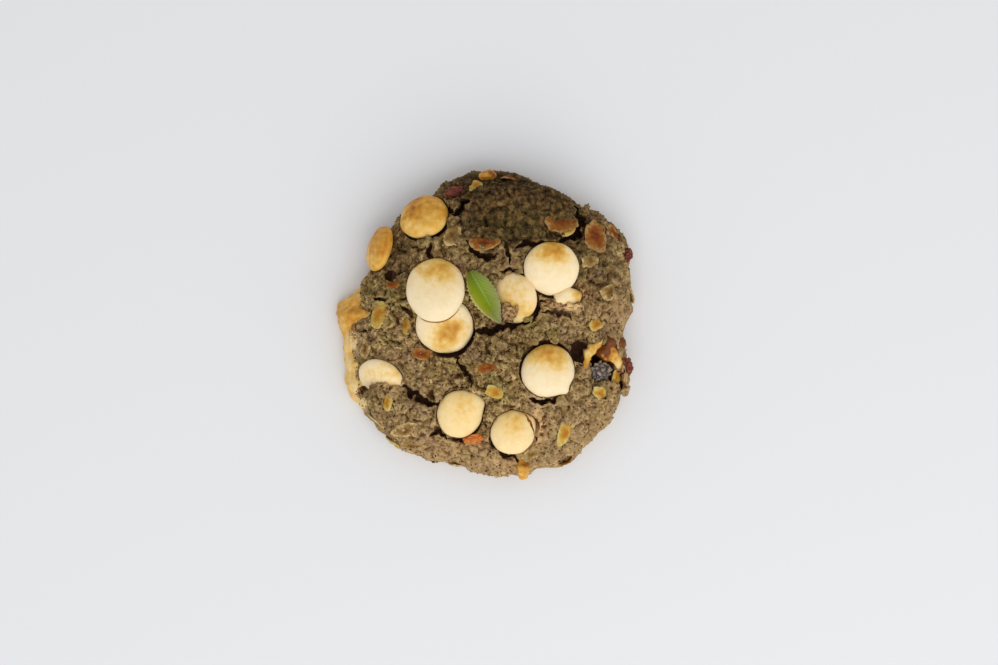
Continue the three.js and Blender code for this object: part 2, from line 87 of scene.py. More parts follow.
# Cracks: width, depth, and the path across the crust
CRACKS = (
    (1.6, 4.2, ((-3.8, -1.2), (-1.3, -2.1), (1.6, -1.9), (3.4, -0.3), (7.4, 0.0), (11.5, 0.5))),
    (1.1, 3.4, ((11, 10.7), (12.8, 7.3), (12.8, 3.6), (12.1, 0.5))),
    (1.3, 3.4, ((-11.2, -7.6), (-8, -7.9), (-6.7, -10.7), (-4.9, -12.6), (-3.4, -16.2))),
    (1.5, 3.6, ((-22.9, -15.4), (-18.2, -17.8), (-16.1, -20.1), (-14, -21.4), (-11.7, -19.6))),
    (1.3, 3.2, ((11.4, -18.8), (14.4, -20.1), (17, -20.1), (19.4, -18.6))),
    (1.3, 3.6, ((-9.6, 31.3), (-8.6, 28.6), (-6.5, 31.1), (-4.4, 32.9))),
    (1.5, 3.0, ((-14.9, 21.4), (-14.6, 17))),
    (1.9, 4.4, ((23.6, 31.6), (24.4, 27.9), (24.1, 24.7), (21.4, 22.7), (18.6, 21))),
    (0.8, 2.2, ((5, 22.1), (5.5, 19), (6.5, 15.5))),
    (1.6, 3.4, ((-4.8, 22.3), (-3.1, 19.3), (0.1, 17.7), (3.4, 18.6))),
    (1.6, 3.2, ((7.6, 20.4), (11.5, 20.8), (15.6, 22))),
    (1.3, 2.8, ((-15, -28.9), (-12.5, -28.2), (-9.9, -29.6))),
    (1.1, 3.0, ((10, -22.4), (11.9, -25.9), (13.3, -30.6))),
    (1.0, 3.4, ((36.4, -11.4), (35.9, -14.0), (35.0, -17.4))),
    (0.8, 2.0, ((-22.6, 5.2), (-20.8, 3.6), (-18.7, 1.8))),
    (0.8, 2.0, ((-29.7, 6.9), (-27.5, 6.5), (-25.5, 6.9))),
    (1.1, 3.0, ((1.1, -27.6), (1.7, -31.0), (4.6, -33.8), (7.2, -34.8), (9.4, -36.4))),
    (1.3, 2.6, ((-4.6, -29.4), (-7.4, -30.6), (-10.0, -30.2))),
    (0.9, 2.2, ((14.4, 3.0), (18.0, 3.4), (21.4, 3.0), (22.6, 1.2))),
    (0.8, 2.0, ((3.6, 14.0), (6.0, 14.4), (8.4, 14.2))),
    (0.7, 1.6, ((12.9, 5.0), (14.2, 5.8), (15.8, 7.0))),
)
CRACK_STEP = 0.5
CRACK_FLOOR = -9.0  # stands for the floor in the rows, as each crack's own depth gives it
# Rows of a crack's wall, from its mouth to its floor: height over the crust, share of the width
WORN_CRACK = ((4.0, 1.6), (-0.3, 1.2), (CRACK_FLOOR, 0.5))
SHARP_CRACK = ((4.0, 1.05), (-1.0, 0.95), (CRACK_FLOOR, 0.5))

# A thin rim of melted chocolate that is left standing in the pocket: width, depth and path
POCKET_RIM = (
    2.8,
    4.0,
    ((30.9, -3.9), (29.3, -5.0), (27.9, -6.2), (26.8, -7.7), (26.3, -9.4), (26.5, -11.4)),
)
RIM_ROWS = ((0.6, 0.6), (-0.6, 0.95), (CRACK_FLOOR, 1.1))
SLIT_SWAY = 0.3  # how much of a crack's wander the rim and the lip's slit have

# Pockets in the crust: x, y, height of the middle over the crust, half lengths
POCKETS = (
    (30.9, -10.2, -0.6, (4.1, 5.6, 4.0)),
    (28.7, -9.6, 0.0, (1.5, 3.2, 5.6)),
    (24.5, -7.2, -0.2, (2.7, 2.9, 3.0)),
    (-25.4, 13.1, 0.0, (1.4, 1.1, 1.3)),
)
# A hole through the dough, the sunk drop and the melted edge
EDGE_HOLE = (-32.4, -17.9, -1.0, (1.5, 2.1, 4.4))
# How ragged lumps are: share of their size, how close the rags stand, and the step from lump to lump
POCKET_RAGS = (0.5, 2.2, 5)
FLAP_RAGS = (0.25, 1.8, 3)

# Drops in the crust: place, half lengths, turn, thickness, sink, lean towards +X and +Y
DROPS = {
    "drop_pair_upper": ((-13, 9), (8.3, 7.7), 96, 4.6, -0.5, (0, 7)),
    "drop_pair_lower": ((-10.6, -0.5), (7.5, 7.3), 0, 4.4, 1.3, (2, -9)),
    "drop_right_upper": ((17.1, 14.6), (7.2, 7), 20, 4.6, 0.6, (-4, -3)),
    "drop_right_lower": ((16.3, -12), (7.1, 6.9), 60, 4.6, 0.7, (-2, 0)),
    "drop_back_left": ((-16.3, 28.6), (6.5, 6.7), 0, 4.8, 0.5, (4, -8)),
    "drop_front_left": ((-6.7, -23.7), (6.5, 6), 80, 4.4, 1.5, (6, -4)),
    "drop_front_middle": ((7.1, -28.3), (5.9, 5.8), 0, 4.2, 1, (0, 6)),
    "drop_middle_sunk": ((6, 6.8), (6.9, 6.7), 0, 4.2, 2.3, (-15, -9)),
    "drop_left_sunk": ((-28.4, -15.2), (6.2, 5.8), 0, 4, 2.3, (4, -24)),
    "chip_right_sunk": ((21.8, 7.2), (4.0, 2.7), 12, 3, 1.5, (-4, -6)),
    "chip_pocket": ((33.2, -7), (3.9, 2.9), 8, 3.4, 1.9, (6, -8)),
}
# The drop on the side wall: name, direction in degrees, height, half lengths, thickness, sink
WALL_DROP = ("drop_left_wall", 143.6, 8.6, (6.4, 6.2), 4.4, -1.1)
WALL_DROP_TURN = 21  # degrees that it faces further round than the wall
WALL_DROP_RAISE = 0.16  # how much further up it faces
CHIPS = ("chip_right_sunk", "chip_pocket")
CHIP_RAGS = 0.7  # how ragged the chips are, against their size
DENT_DEPTH = 0.16
DENT_SPREAD = 0.018
# Rings and spokes of a drop and of its socket
DROP_DETAIL = (40, 72)
SOCKET_DETAIL = (18, 54)
TOASTED_DROPS = ("drop_back_left", "drop_left_wall", "chip_right_sunk", "chip_pocket")
# Drops whose rim the dough laps over
LAPPED_DROPS = ("drop_middle_sunk", "drop_left_sunk", "chip_right_sunk", "chip_pocket")
# Lumps that run together into the melted chip: x, y, height over the crust, half lengths, turn
CHIP_LUMPS = (
    (30.8, -6.4, -1.7, (2.0, 1.7, 1.6), 20),
    (32.4, -4.6, -1.2, (1.8, 1.4, 1.6), 0),
    (35.2, -5.0, -1.1, (2.0, 1.7, 1.7), -10),
    (33.4, -7.8, -1.5, (2.2, 1.5, 1.3), 60),
    (34.7, -9.8, -1.1, (1.3, 2.4, 1.2), 10),
)
# A slit that parts the lip of a drop from the rest: the drop, width, depth and path
LIP_SLIT = ("drop_front_middle", 0.6, 2.4, ((9.2, -21.8), (11.2, -24.8), (12.2, -26.6), (12.7, -28.8)))

# Berries: place, half lengths, turn, height of the middle over the crust
BERRIES = {
    "dark_berry": ((30.7, -12.7), (3.2, 3.0, 2.0), 20, -2.1),
    "red_berry_right": ((37.2, -11.2), (2.5, 1.7, 1.6), 84, 0.1),
    "red_berry_back_right": ((37.7, 18.8), (1.9, 1.5, 1.5), 60, -0.4),
    "red_berry_back": ((-8.4, 35.4), (2.6, 1.8, 1.4), 10, -0.5),
    "red_berry_front": ((-3.2, -30.2), (2.7, 1.2, 1.1), 16, -0.4),
}

# Colours of the berries, from their hollows to their raised parts: round the berry's own colour, darker as
# painted shade in the hollows and lighter as a painted highlight on the raised parts
BERRY_SHADED_TONES = {
    "dark berry": ((30, 24, 24), (98, 86, 78), (172, 156, 138)),
    "red berry": ((48, 16, 10), (110, 48, 32), (156, 90, 58)),
    "orange berry": ((120, 48, 10), (204, 112, 40), (226, 154, 84)),
}
BERRY_TONE_PLACES = (0.15, 0.5, 0.9)
BERRY_KINDS = {"dark_berry": "dark berry", "red_berry_front": "orange berry"}  # the others are red

LEAF_PLACE = (-0.2, 7.3)
LEAF_LONG = 16.4
LEAF_WIDE = 6.8
LEAF_TURN = -60
LEAF_THICK = 0.42
LEAF_FOLD = 0.9
LEAF_WAVE = 0.25
LEAF_LIFT = 0.45
LEAF_VEINS = 13
LEAF_GRID = (90, 28)  # steps along the leaf and across it
LEAF_CLEARANCE = 0.45  # how far the dough is pressed below the middle of the leaf

# Oat flakes that show on the crust: kind, x, y, length, width, turn, tilt and, where curled, the arc.
# A flake with a tilt below zero shows its near rim alone, and dough lies over the rest.
FLAKES = (
    ("toasted", 28.7, 23.3, 9.2, 6.2, 80, 5),
    ("toasted", 19.6, 27.0, 6.6, 9.0, -68, -5),
    ("green", 21.4, 24.8, 4.6, 3.0, 38, 12),
    ("toasted", -0.6, 21.2, 4.4, 7.8, -86, -11),
    ("green", -27.8, 2.6, 7.2, 4.8, 82, 10),
    ("green", -20.8, -0.4, 5.0, 2.6, 86, 12),
    ("toasted", -16.6, -7.6, 5.4, 3.0, -18, 12),
    ("pale", -21.2, -27.6, 7.0, 4.4, 14, 16),
    ("pale", -19.4, -31.6, 6.0, 3.4, -12, 10),
    ("green", 20.7, -28.4, 7.0, 3.8, 68, 12),
    ("green", 30.0, -18.0, 5.8, 3.0, -38, 22, -50),
    ("green", 34.4, -13.8, 4.4, 2.6, 80, 6),
    ("toasted", 0.4, -11.2, 6.2, 3.0, 4, 12),
    ("green", 28.8, 0.2, 4.2, 3.2, 30, 12),
    ("green", -2.6, 36.6, 4.4, 3.0, 60, 6),
    ("green", -25.7, -20.4, 4.2, 2.4, 84, 12),
    ("pale", -8.6, 23.2, 6.2, 4.2, 60, 14),
    ("toasted", 33.8, 24.0, 5.6, 3.4, -38, 12),
    ("pale", 32.6, 8.8, 6.0, 4.0, 24, 16),
    ("pale", 27.0, 16.6, 5.0, 3.6, 10, 10),
    ("green", 2.4, -17.5, 5.2, 3.2, -20, 10),
    ("pale", -31.6, -6.4, 4.6, 3.2, 70, 12),
    ("pale", 12.0, -34.0, 5.6, 3.4, 24, 10),
    ("toasted", -24.4, 10.4, 3.8, 1.9, 4, 10),
)
WALL_FLAKES = 14
BARE_SIDE = (1, 13)  # which of them are left off, where the side is bare
WALL_FLAKE_SINK = 0.35
FLAKE_SEED = 20
FLAKE_LIFT = -0.05
FLAKE_CUP = 0.42  # how deep a toasted flake of 8 mm is cupped
FLAKE_ROUGH = 0.22
# The dough is cleared off a flake: share of its size, lowest and highest
FLAKE_PLUG = (0.78, -0.22, 2.6)
# Rings and spokes of a large flake and of a small bit
FLAKE_DETAIL = (9, 44)
BIT_DETAIL = (6, 22)
PLUG_SPOKES = 26

# Small oat bits all over the crust: how many, and the seed of their spread
OAT_BITS = 60
OAT_BIT_SINK = 0.42
OAT_BIT_SEED = 11
OAT_BIT_REACH = 38.5  # how far from the middle they lie at most

# Colours of each kind of flake, from its middle to its rim
FLAKE_TONES = {
    "toasted": ((114, 50, 8), (146, 80, 22), (154, 102, 42), (176, 140, 86)),
    "pale": ((116, 80, 32), (148, 116, 62), (176, 146, 90), (220, 194, 138)),
    "green": ((184, 122, 34), (202, 150, 56), (206, 178, 88), (220, 200, 126)),
    "bit": ((120, 90, 48), (140, 110, 64), (152, 124, 78), (164, 138, 92)),
}
TONE_PLACES = (0.1, 0.48, 0.78, 1.0)  # share of the way from the middle to the rim

# Toasted spots on the chocolate, most of them on the back of each piece, away from the light, so they are
# partly real toasting and partly painted shade; from the middle of each piece: x, y, radius, amount
TOAST_AND_SHADE_SPOTS = {
    "drop_pair_upper": (
        (0.5, 6.6, 4.2, 0.42),
        (-3.5, 5.0, 3.0, 0.18),
        (4.0, 4.5, 3.0, 0.2),
        (1.5, 1.0, 5.0, 0.1),
    ),
    "drop_pair_lower": ((0.5, -1.8, 3.8, 0.58), (3.6, -0.6, 2.6, 0.42), (-1.5, -4.5, 3.0, 0.25)),
    "drop_right_upper": ((0.5, 5.4, 4.0, 0.5), (-3.5, 4.2, 3.0, 0.25), (2.5, 2.4, 3.6, 0.14)),
    "drop_right_lower": ((0.0, 5.6, 4.2, 0.52), (2.6, 2.4, 3.2, 0.3), (-3.4, 4.0, 3.2, 0.24)),
    "drop_back_left": (
        (-2.0, 4.0, 4.2, 0.18),
        (3.4, 2.6, 3.2, 0.2),
        (-3.8, 0.4, 2.4, 0.16),
        (0, 0, 14, 0.42),
        (0, -5, 3.6, -0.12),
    ),
    "drop_left_wall": ((0.6, 3.6, 5.0, 0.2), (-1.0, -1.5, 5.0, 0.06), (0, 0, 14, 0.42)),
    "drop_front_left": ((0.5, 3.4, 4.0, 0.24), (0.5, -1.0, 4.0, 0.1)),
    "drop_front_middle": ((0.0, 3.8, 3.6, 0.34), (0, 0, 5, 0.08)),
    "drop_middle_sunk": ((-1.0, -3.5, 3.4, 0.3), (4.4, -4.4, 2.4, 0.3), (0, 3, 7, 0.26)),
    "drop_left_sunk": ((3.5, 1.5, 3.4, 0.24), (-2.0, 1.0, 2.0, 0.12), (0, 0, 9, 0.12)),
    "chip_right_sunk": ((2.8, 0.4, 2.4, 0.44), (-3, -3, 3, 0.2)),
    "chip_pocket": (
        (-2.6, 1.2, 2.8, 0.6),
        (0.0, 3.8, 2.4, 0.6),
        (3.4, 3.0, 2.4, 0.6),
        (0.9, -0.8, 1.6, -0.4),
        (1.6, -3.4, 1.9, -0.55),
        (0, 0, 14, 0.9),
    ),
    "melted_edge": (
        (-3.0, 8.0, 5.4, 0.44),
        (2.0, 11.0, 4.0, 0.24),
        (1.5, -8.0, 9.0, 0.24),
        (4.0, 0.0, 2.6, 0.7),
        (0, 4, 12, 0.16),
    ),
    "pocket_rim": ((0, 0, 14, 0.42), (-1.6, -3.6, 2.2, 0.3), (0.6, 1.6, 1.6, 0.2)),
    "drip_front": ((0, 0, 8, 0.64), (0.4, 2.6, 1.8, 0.3)),
    "drip_back": ((0, 0, 8, 0.76),),
}
# How yellow the chocolate is
YELLOWED = {
    "drop_front_left": 0.8,
    "drop_front_middle": 0.7,
    "drop_back_left": 1.0,
    "drop_middle_sunk": 0.1,
    "melted_edge": 0.6,
    "drop_left_wall": 0.8,
}

# Zones of the crust's colour: x, y, half lengths in x and y, amount
# The browned zones are partly the crust's own darker bake and partly painted shade: on the back slope,
# which faces away from the light, and in the pockets and the hole at the edge.
BROWNED_AND_SHADED_ZONES = (
    (7.0, 29.5, 17.0, 8.5, 1.25),
    (4.0, 38.0, 26.0, 5.0, 0.9),
    (-22.0, 19.0, 5.0, 6.0, 0.75),
    (-25.0, 12.0, 6.0, 5.0, 0.35),
    (25.0, 22.0, 9.0, 9.0, 0.4),
    (-2.0, 14.0, 9.0, 5.0, 0.35),
    (5.0, -3.0, 9.0, 7.0, 0.42),
    (4.0, 23.6, 11.0, 3.6, 0.5),
    (28.0, 14.0, 9.0, 8.0, 0.42),
    (35.0, 4.0, 4.0, 9.0, 0.25),
    (30.5, -9.0, 4.0, 6.0, 1.0),
    (24.4, -7.0, 3.0, 3.2, 0.8),
    (28.6, 7.6, 5.0, 4.0, 0.3),
    (-32.0, -17.0, 3.0, 3.0, 0.9),
)
PALED_ZONES = (
    (24.0, -26.0, 12.0, 9.0, 0.68),
    (36.0, -2.0, 3.5, 18.0, 0.42),
    (0.0, -36.0, 22.0, 5.0, 0.66),
    (-20.0, -29.0, 10.0, 7.0, 0.55),
    (-21.0, -18.0, 10.0, 8.0, 0.5),
    (25.0, 2.0, 9.0, 4.5, 0.42),
    (22.4, 4.8, 3.0, 1.3, 0.9),
    (-32.9, -20.6, 1.9, 1.9, 1.5),
    (-35.2, -3.8, 1.8, 4.6, 1.3),
    (0.0, 15.0, 5.0, 3.0, 0.3),
    (-24.0, -10.0, 6.0, 3.5, 0.3),
    (13.2, -26.0, 1.8, 5.0, 0.9),
    (26.5, -12.6, 0.9, 2.4, 0.7),
)
GREENED_ZONES = (
    (12.0, 1.3, 3.5, 2.5, 0.7),
    (8.0, 26.0, 12.0, 4.0, 0.3),
    (-26.0, 7.0, 5.0, 4.0, 0.45),
    (2.0, -17.0, 4.0, 3.0, 0.5),
    (12.0, -33.0, 4.0, 3.0, 0.6),
    (26.0, 17.0, 4.0, 4.0, 0.35),
    (-28.0, -19.0, 5.0, 3.0, 0.5),
    (-5.0, -33.4, 2.8, 1.8, 1.0),
    (-13.0, 22.0, 5.0, 3.0, 0.35),
    (0.0, -11.0, 5.0, 2.5, 0.35),
)
TOASTED_ZONES = (
    (6.9, 3.8, 2.8, 2.6, 0.75),
    (13.6, -26.6, 1.6, 4.6, 1.2),
    (-25.5, -16.2, 3.6, 1.8, 0.5),
    (20.0, 5.2, 4.0, 1.4, 0.9),
    (25.0, 8.6, 2.2, 2.2, 0.8),
    (34.6, -12.6, 1.8, 2.6, 0.9),
    (37.0, -15.0, 1.4, 3.6, 0.3),
    (-7.0, -33.0, 7.0, 3.0, 0.35),
    (8.0, -37.0, 6.0, 2.4, 0.4),
    (31.0, 5.0, 5.0, 3.0, 0.35),
    (-35.0, -3.0, 1.5, 5.0, 0.3),
)

# Where the crust is smoother: x, y, half lengths in x and y, amount
SMOOTH_ZONES = (
    (6.0, 29.0, 16.0, 7.5, 1.0),
    (35.0, 0.0, 4.0, 20.0, 0.7),
    (24.0, -32.0, 14.0, 5.0, 0.5),
    (-10.0, -37.0, 16.0, 4.0, 0.4),
)
BASE_PIT_DEPTH = 0.35

# Dough that lies over the edge of a sunk piece: x, y, height over the crust, half lengths, turn
FLAPS = (
    (5.8, 3.1, 0.2, (3.7, 3.1, 2.0), 0),
    (-26.4, -18.9, 0.2, (6.6, 4.2, 2.4), 4),
    (21.6, 4.6, 0.3, (4.2, 1.6, 1.2), 0),
    (13.4, -26.6, 0.4, (1.7, 4.0, 1.4), -12),
    (-12.6, -19.6, 0.3, (2.6, 1.6, 1.3), 40),
    (24.4, 27.4, 0.2, (1.4, 5.2, 1.3), -30),
    (7.0, 29.6, -0.7, (16.5, 7.4, 2.7), -4),
    (36.2, -14.6, 0.0, (1.6, 4.6, 2.2), 4),
    (-0.4, 24.0, 0.5, (5.4, 2.0, 1.4), -2),
)

# How far the socket of a drop stands off it, where a gap shows: in x and y
GAPS = {
    "drop_pair_upper": (-0.2, -0.5),
    "drop_pair_lower": (0.2, -0.8),
    "drop_right_lower": (-0.4, 0.8),
    "drop_back_left": (0.4, -0.6),
    "drop_front_left": (-0.1, -0.8),
    "drop_front_middle": (0.7, -0.6),
    "drop_middle_sunk": (0.7, 0.1),
    "drop_left_sunk": (-0.6, 0.2),
    "drop_right_upper": (0.1, -0.5),
}

# Lips on the rims of some drops: direction in degrees, reach, half width in degrees
LIPS = {
    "drop_right_lower": (-108, 0.8, 9),
    "drop_front_left": (-48, 1.1, 20),
    "drop_front_middle": (34, 1.0, 24),
}

MELT_VOXEL = 0.3
MELT_ROUNDS = 30
# Rounds of softening, and relief, of the chip and of the rim in the pocket
CHIP_SOFTENING = (2, 0.8)
RIM_SOFTENING = (3, 0.5)
# How much larger the melted pieces are than their solids, along each axis
MELT_SWELL = {"melted_edge": (1.04, 1.0, 2.1), "drip_front": (1.4, 2.4, 1.3), "drip_back": (1.7, 1.3, 1.2)}
# Relief of the melted pieces: of their runs and of what is finer
MELT_RELIEF = {"melted_edge": (1.1, 0.6), "drip_front": (1.0, 1.3), "drip_back": (1.0, 1.2)}
MELT_SHIFT = {"drip_front": (-0.2, 1.5, 0.8), "drip_back": (0.4, -0.8, 0.6)}
MELT_RUNS = (3.2, 2.0, 6.0)  # size of the runs, which are drawn out downwards
BANK_LEAN = (2.4, 0.34)  # from which height the melted edge leans in to the dough, and how much
# Where the melted edge stands higher: place along Y, half width, share of its height
BANK_RISES = ((7.2, 1.5, 0.16), (2.4, 2.4, 0.5), (-4.4, 2.6, 0.5), (-10.6, 1.8, 0.2), (-16.4, 2.4, 0.34))

# How often neighbours are averaged to find the hollows: on small pieces and on the dough
HOLLOW_ROUNDS = 6
DOUGH_HOLLOW_ROUNDS = 8

SOCKET_GAP = 0.3
SOCKET_MOUTH = 2.4  # how much higher than the drop its socket is cut

# Crumbs on the crust: least distance between two, most on a square metre, and size
CRUMB_DISTANCE = 0.7
CRUMB_DENSITY = 2.6e6
CRUMB_SIZE = 0.36
CRUMB_SEED = 7
CRUMB_SHAPE = ((0.5, 0.35, 0.25), (1.7, 1.1, 0.8))  # least and most, against the size
CRUMB_ROUGH = (0.5, 0.45)  # size and height

# The solid model's box, in the cookie's own millimetres
CAD_BOX = ((-40.4, -41.0, 0.0), (39.6, 41.4, 21.3))

# ---- the view: straight down, with the back of the cookie at the top ----
CAMERA_PLACE = Vector((3.445, -1.99, 522.0))
CAMERA_LENS = 70
FLOOR_SIZE = 3000
FLOOR_GAP = 0.02
LIGHT_PLACE = (230, -600, 720)
LIGHT_AIM = (0, 0, 10)
LIGHT_SIZE = (1300, 1100)
LIGHT_POWER = 6.2
ROOM_STRENGTH = 0.65


# ---- small maths ----
def corner_values(cells):
    """A value from 0 to 1 for each corner of a grid, the same at every run."""
    wave = np.sin(cells @ np.array((127.1, 311.7, 74.7))) * 43758.5453
    return wave - np.floor(wave)


def noise(points):
    """Smooth noise from -0.5 to 0.5 at each point, the same at every run."""
    cell = np.floor(points)
    part = points - cell
    ease = part * part * (3 - 2 * part)
    total = np.zeros(len(points))
    for corner in itertools.product((0, 1), repeat=3):
        share = np.prod(np.where(corner, ease, 1 - ease), axis=1)
        total += share * corner_values(cell + corner)
    return total - 0.5


def noise_on_axes(points, size, shift):
    """Three unlike noises at each point, one for each axis."""
    return np.stack([noise(points / size + (shift + step)) for step in (0, 20, 40)], axis=1)


def clump_cells(points):
    """For each point, how far it lies from the edge of its clump, and a value for that clump."""
    cell = np.floor(points)
    nearest = np.full(len(points), 9.0)
    second = np.full(len(points), 9.0)
    value = np.zeros(len(points))
    for step in itertools.product((-1, 0, 1), repeat=3):
        corner = cell + step
        off = [corner_values(corner + shift) for shift in ((0, 0, 0), (17, 5, 0), (0, 31, 9))]
        away = np.linalg.norm(corner + np.stack(off, axis=1) - points, axis=1)
        closer = away < nearest
        second = np.where(closer, nearest, np.minimum(second, away))
        value = np.where(closer, off[0], value)
        nearest = np.where(closer, away, nearest)
    return second - nearest, value


def smooth(value, low, high):
    """Rises softly from 0 at the low end to 1 at the high end."""
    share = np.clip((value - low) / (high - low), 0, 1)
    return share * share * (3 - 2 * share)


def seeded_draw(seed):
    """Draws from 0 to 1, in the same order as on the solid model."""
    state = seed

    def draw():
        nonlocal state
        state = (state + 0x6D2B79F5) & 0xFFFFFFFF
        stirred = ((state ^ (state >> 15)) * (1 | state)) & 0xFFFFFFFF
        turned = ((stirred ^ (stirred >> 7)) * (61 | stirred)) & 0xFFFFFFFF
        stirred = ((stirred + turned) & 0xFFFFFFFF) ^ stirred
        return (stirred ^ (stirred >> 14)) / 4294967296

    return draw


def spots(x, y, zones):
    """Sum of soft round or oval spots at each point."""
    total = np.zeros(len(x))
    for spot_x, spot_y, half_x, half_y, amount in zones:
        total += amount * np.exp(-(((x - spot_x) / half_x) ** 2) - ((y - spot_y) / half_y) ** 2)
    return total


# ---- the dough's form ----
def outline_radius(direction):
    """How far the outline reaches in each direction."""
    degrees = np.degrees(direction)
    radius = COOKIE_RADIUS + 0 * degrees
    for lobe, reach, half in OUTLINE_LOBES:
        turn = (degrees - lobe + 180) % 360 - 180
        radius = radius + reach * np.exp(-((turn / half) ** 2))
    return radius


def dome_height(share):
    """Height of the plain dome at a share of its radius."""
    fall = np.maximum(0, 1 - np.minimum(1, share) ** DOME_FULLNESS)
    return WIDEST_HEIGHT + (DOUGH_HEIGHT - WIDEST_HEIGHT) * np.sqrt(fall)


def crust_share(height):
    """From 0 on the sides to 1 on the crust."""
    return smooth(height, WIDEST_HEIGHT, DOUGH_HEIGHT * 0.8)


def broad_relief(x, y):
    return CRUST_TILT * y + spots(x, y, CRUST_LUMPS)


def broken_relief(x, y, z):
    points = np.stack((x, y, z), axis=1)
    lumps = LUMP_RELIEF * noise(points / LUMP_SIZE + (0, 0, 5))
    return lumps + CRAG_RELIEF * noise(points / CRAG_SIZE + (0, 0, 9))


def skin_points(direction, share, height):
    """Points of the skin, from their direction, share of the radius and height on the plain form."""
    reach = outline_radius(direction) * share
    x = reach * np.cos(direction)
    y = reach * np.sin(direction)
    on_top = crust_share(height)
    broken = broken_relief(x, y, height) * smooth(height, 0, WIDEST_HEIGHT / 2)
    swell = 1 + (1 - on_top) * broken / COOKIE_RADIUS
    return np.stack((x * swell, y * swell, height + on_top * (broken + broad_relief(x, y))), axis=1)


def crust_height(x, y):
    """Height of the solid model's crust at each place."""
    plain = dome_height(np.hypot(x, y) / outline_radius(np.arctan2(y, x)))
    return plain + crust_share(plain) * (broad_relief(x, y) + broken_relief(x, y, plain))


def crust_top(x, y):
    """Height of the crust at one place."""
    return float(crust_height(np.array([float(x)]), np.array([float(y)]))[0])


def half_section():
    """Half section from the top over the bulge to the foot and in along the base, with the area passed."""
    turn = np.linspace(0, math.pi, SECTION_STEPS + 1)
    rise = np.abs(np.cos(turn))
    upper = turn <= math.pi / 2
    over = np.sin(turn) ** (2 / DOME_FULLNESS)
    share = np.where(upper, over, FOOT_SHARE + (1 - FOOT_SHARE) * np.sqrt(1 - rise * rise))
    height = np.where(upper, dome_height(over), WIDEST_HEIGHT * (1 - rise))
    share = np.append(share, 0)
    height = np.append(height, 0)
    density = np.append(np.ones(SECTION_STEPS + 1), BASE_DENSITY)
    length = np.hypot(np.diff(share) * COOKIE_RADIUS, np.diff(height))
    area = np.cumsum(np.append(0, density[1:] * length * (share[1:] + share[:-1])))
    return share, height, area / area[-1]


# ---- seats ----
def crust_seat(x, y):
    """Point on the crust, with the normal of its broad slope."""
    reach = 3
    xs = np.array((x, x + reach, x - reach, x, x), dtype=float)
    ys = np.array((y, y, y, y + reach, y - reach), dtype=float)
    heights = crust_height(xs, ys)
    normal = Vector((heights[2] - heights[1], heights[4] - heights[3], 2 * reach)).normalized()
    return Vector((x, y, heights[0])), normal


def wall_seat(degrees, height):
    """Point on the side at a height, with its normal."""
    direction = math.radians(degrees)
    rise = max(0, height - WIDEST_HEIGHT) / (DOUGH_HEIGHT - WIDEST_HEIGHT)
    share = (1 - rise * rise) ** (1 / DOME_FULLNESS)
    lean = math.asin(min(1, rise)) * 0.9
    point = skin_points(np.array([direction]), np.array([share]), np.array([height]))[0]
    flat = math.cos(lean)
    return Vector(point), Vector((math.cos(direction) * flat, math.sin(direction) * flat, math.sin(lean)))


def placing(seat, turn, lift=0.0, lean=(0, 0)):
    """Matrix that takes a piece modelled flat at the origin to its seat."""
    point, normal = seat[0], seat[1].copy()
    normal.rotate(Quaternion((0, 1, 0), math.radians(lean[0])))
    normal.rotate(Quaternion((1, 0, 0), -math.radians(lean[1])))
    stand = Vector((0, 0, 1)).rotation_difference(normal)
    spin = Quaternion((0, 0, 1), math.radians(turn))
    return Matrix.Translation(point + normal * lift) @ (stand @ spin).to_matrix().to_4x4()


# ---- meshes ----
def read_points(mesh):
    flat = np.empty(len(mesh.vertices) * 3, dtype=np.float32)
    mesh.vertices.foreach_get("co", flat)
    return flat.reshape(-1, 3).astype(float)


def write_points(mesh, points):
    mesh.vertices.foreach_set("co", points.astype(np.float32).ravel())
    mesh.update()


def read_normals(mesh):
    flat = np.empty(len(mesh.vertices) * 3, dtype=np.float32)
    mesh.vertex_normals.foreach_get("vector", flat)
    return flat.reshape(-1, 3).astype(float)


def to_cookie(points):
    """Points of a finished mesh, back in the cookie's own millimetres."""
    return points / MM - np.array(FOOTPRINT_SHIFT)


def store(mesh, name, values):
    attribute = mesh.attributes.new(name, "FLOAT", "POINT")
    attribute.data.foreach_set("value", values.astype(np.float32))


def neighbour_mean(mesh, values, rounds):
    """Each point's value averaged with its neighbours', a number of times over."""
    edges = np.empty(len(mesh.edges) * 2, dtype=np.int32)
    mesh.edges.foreach_get("vertices", edges)
    first, second = edges[::2], edges[1::2]
    count = np.maximum(1, np.bincount(edges, minlength=len(mesh.vertices)))
    for _ in range(rounds):
        total = np.zeros_like(values)
        for column in range(values.shape[1]):
            total[:, column] = np.bincount(first, values[second, column], len(values))
            total[:, column] += np.bincount(second, values[first, column], len(values))
        values = 0.5 * values + 0.5 * total / count[:, None]
    return values


def add_object(name, data):
    added = bpy.data.objects.new(name, data)
    bpy.context.scene.collection.objects.link(added)
    return added


def make_piece(name, points, faces, place=Matrix()):
    """A piece from points in millimetres, put in its place on the cookie."""
    mesh = bpy.data.meshes.new(name)
    mesh.from_pydata([tuple(point) for point in points], [], faces)
    mesh.transform(Matrix.Scale(MM, 4) @ Matrix.Translation(FOOTPRINT_SHIFT) @ place)
    shell = bmesh.new()
    shell.from_mesh(mesh)
    bmesh.ops.recalc_face_normals(shell, faces=shell.faces)
    shell.to_mesh(mesh)
    shell.free()
    mesh.shade_smooth()
    return add_object(name, mesh)


def apply_modifiers(piece):
    """Turns what the modifiers make into the piece's own plain mesh."""
    depsgraph = bpy.context.evaluated_depsgraph_get()
    mesh = bpy.data.meshes.new_from_object(piece.evaluated_get(depsgraph))
    old = piece.data
    piece.modifiers.clear()
    piece.data = mesh
    mesh.name = piece.name
    bpy.data.meshes.remove(old)
    mesh.shade_smooth()


def remove(pieces):
    for piece in pieces:
        mesh = piece.data
        bpy.data.objects.remove(piece)
        bpy.data.meshes.remove(mesh)


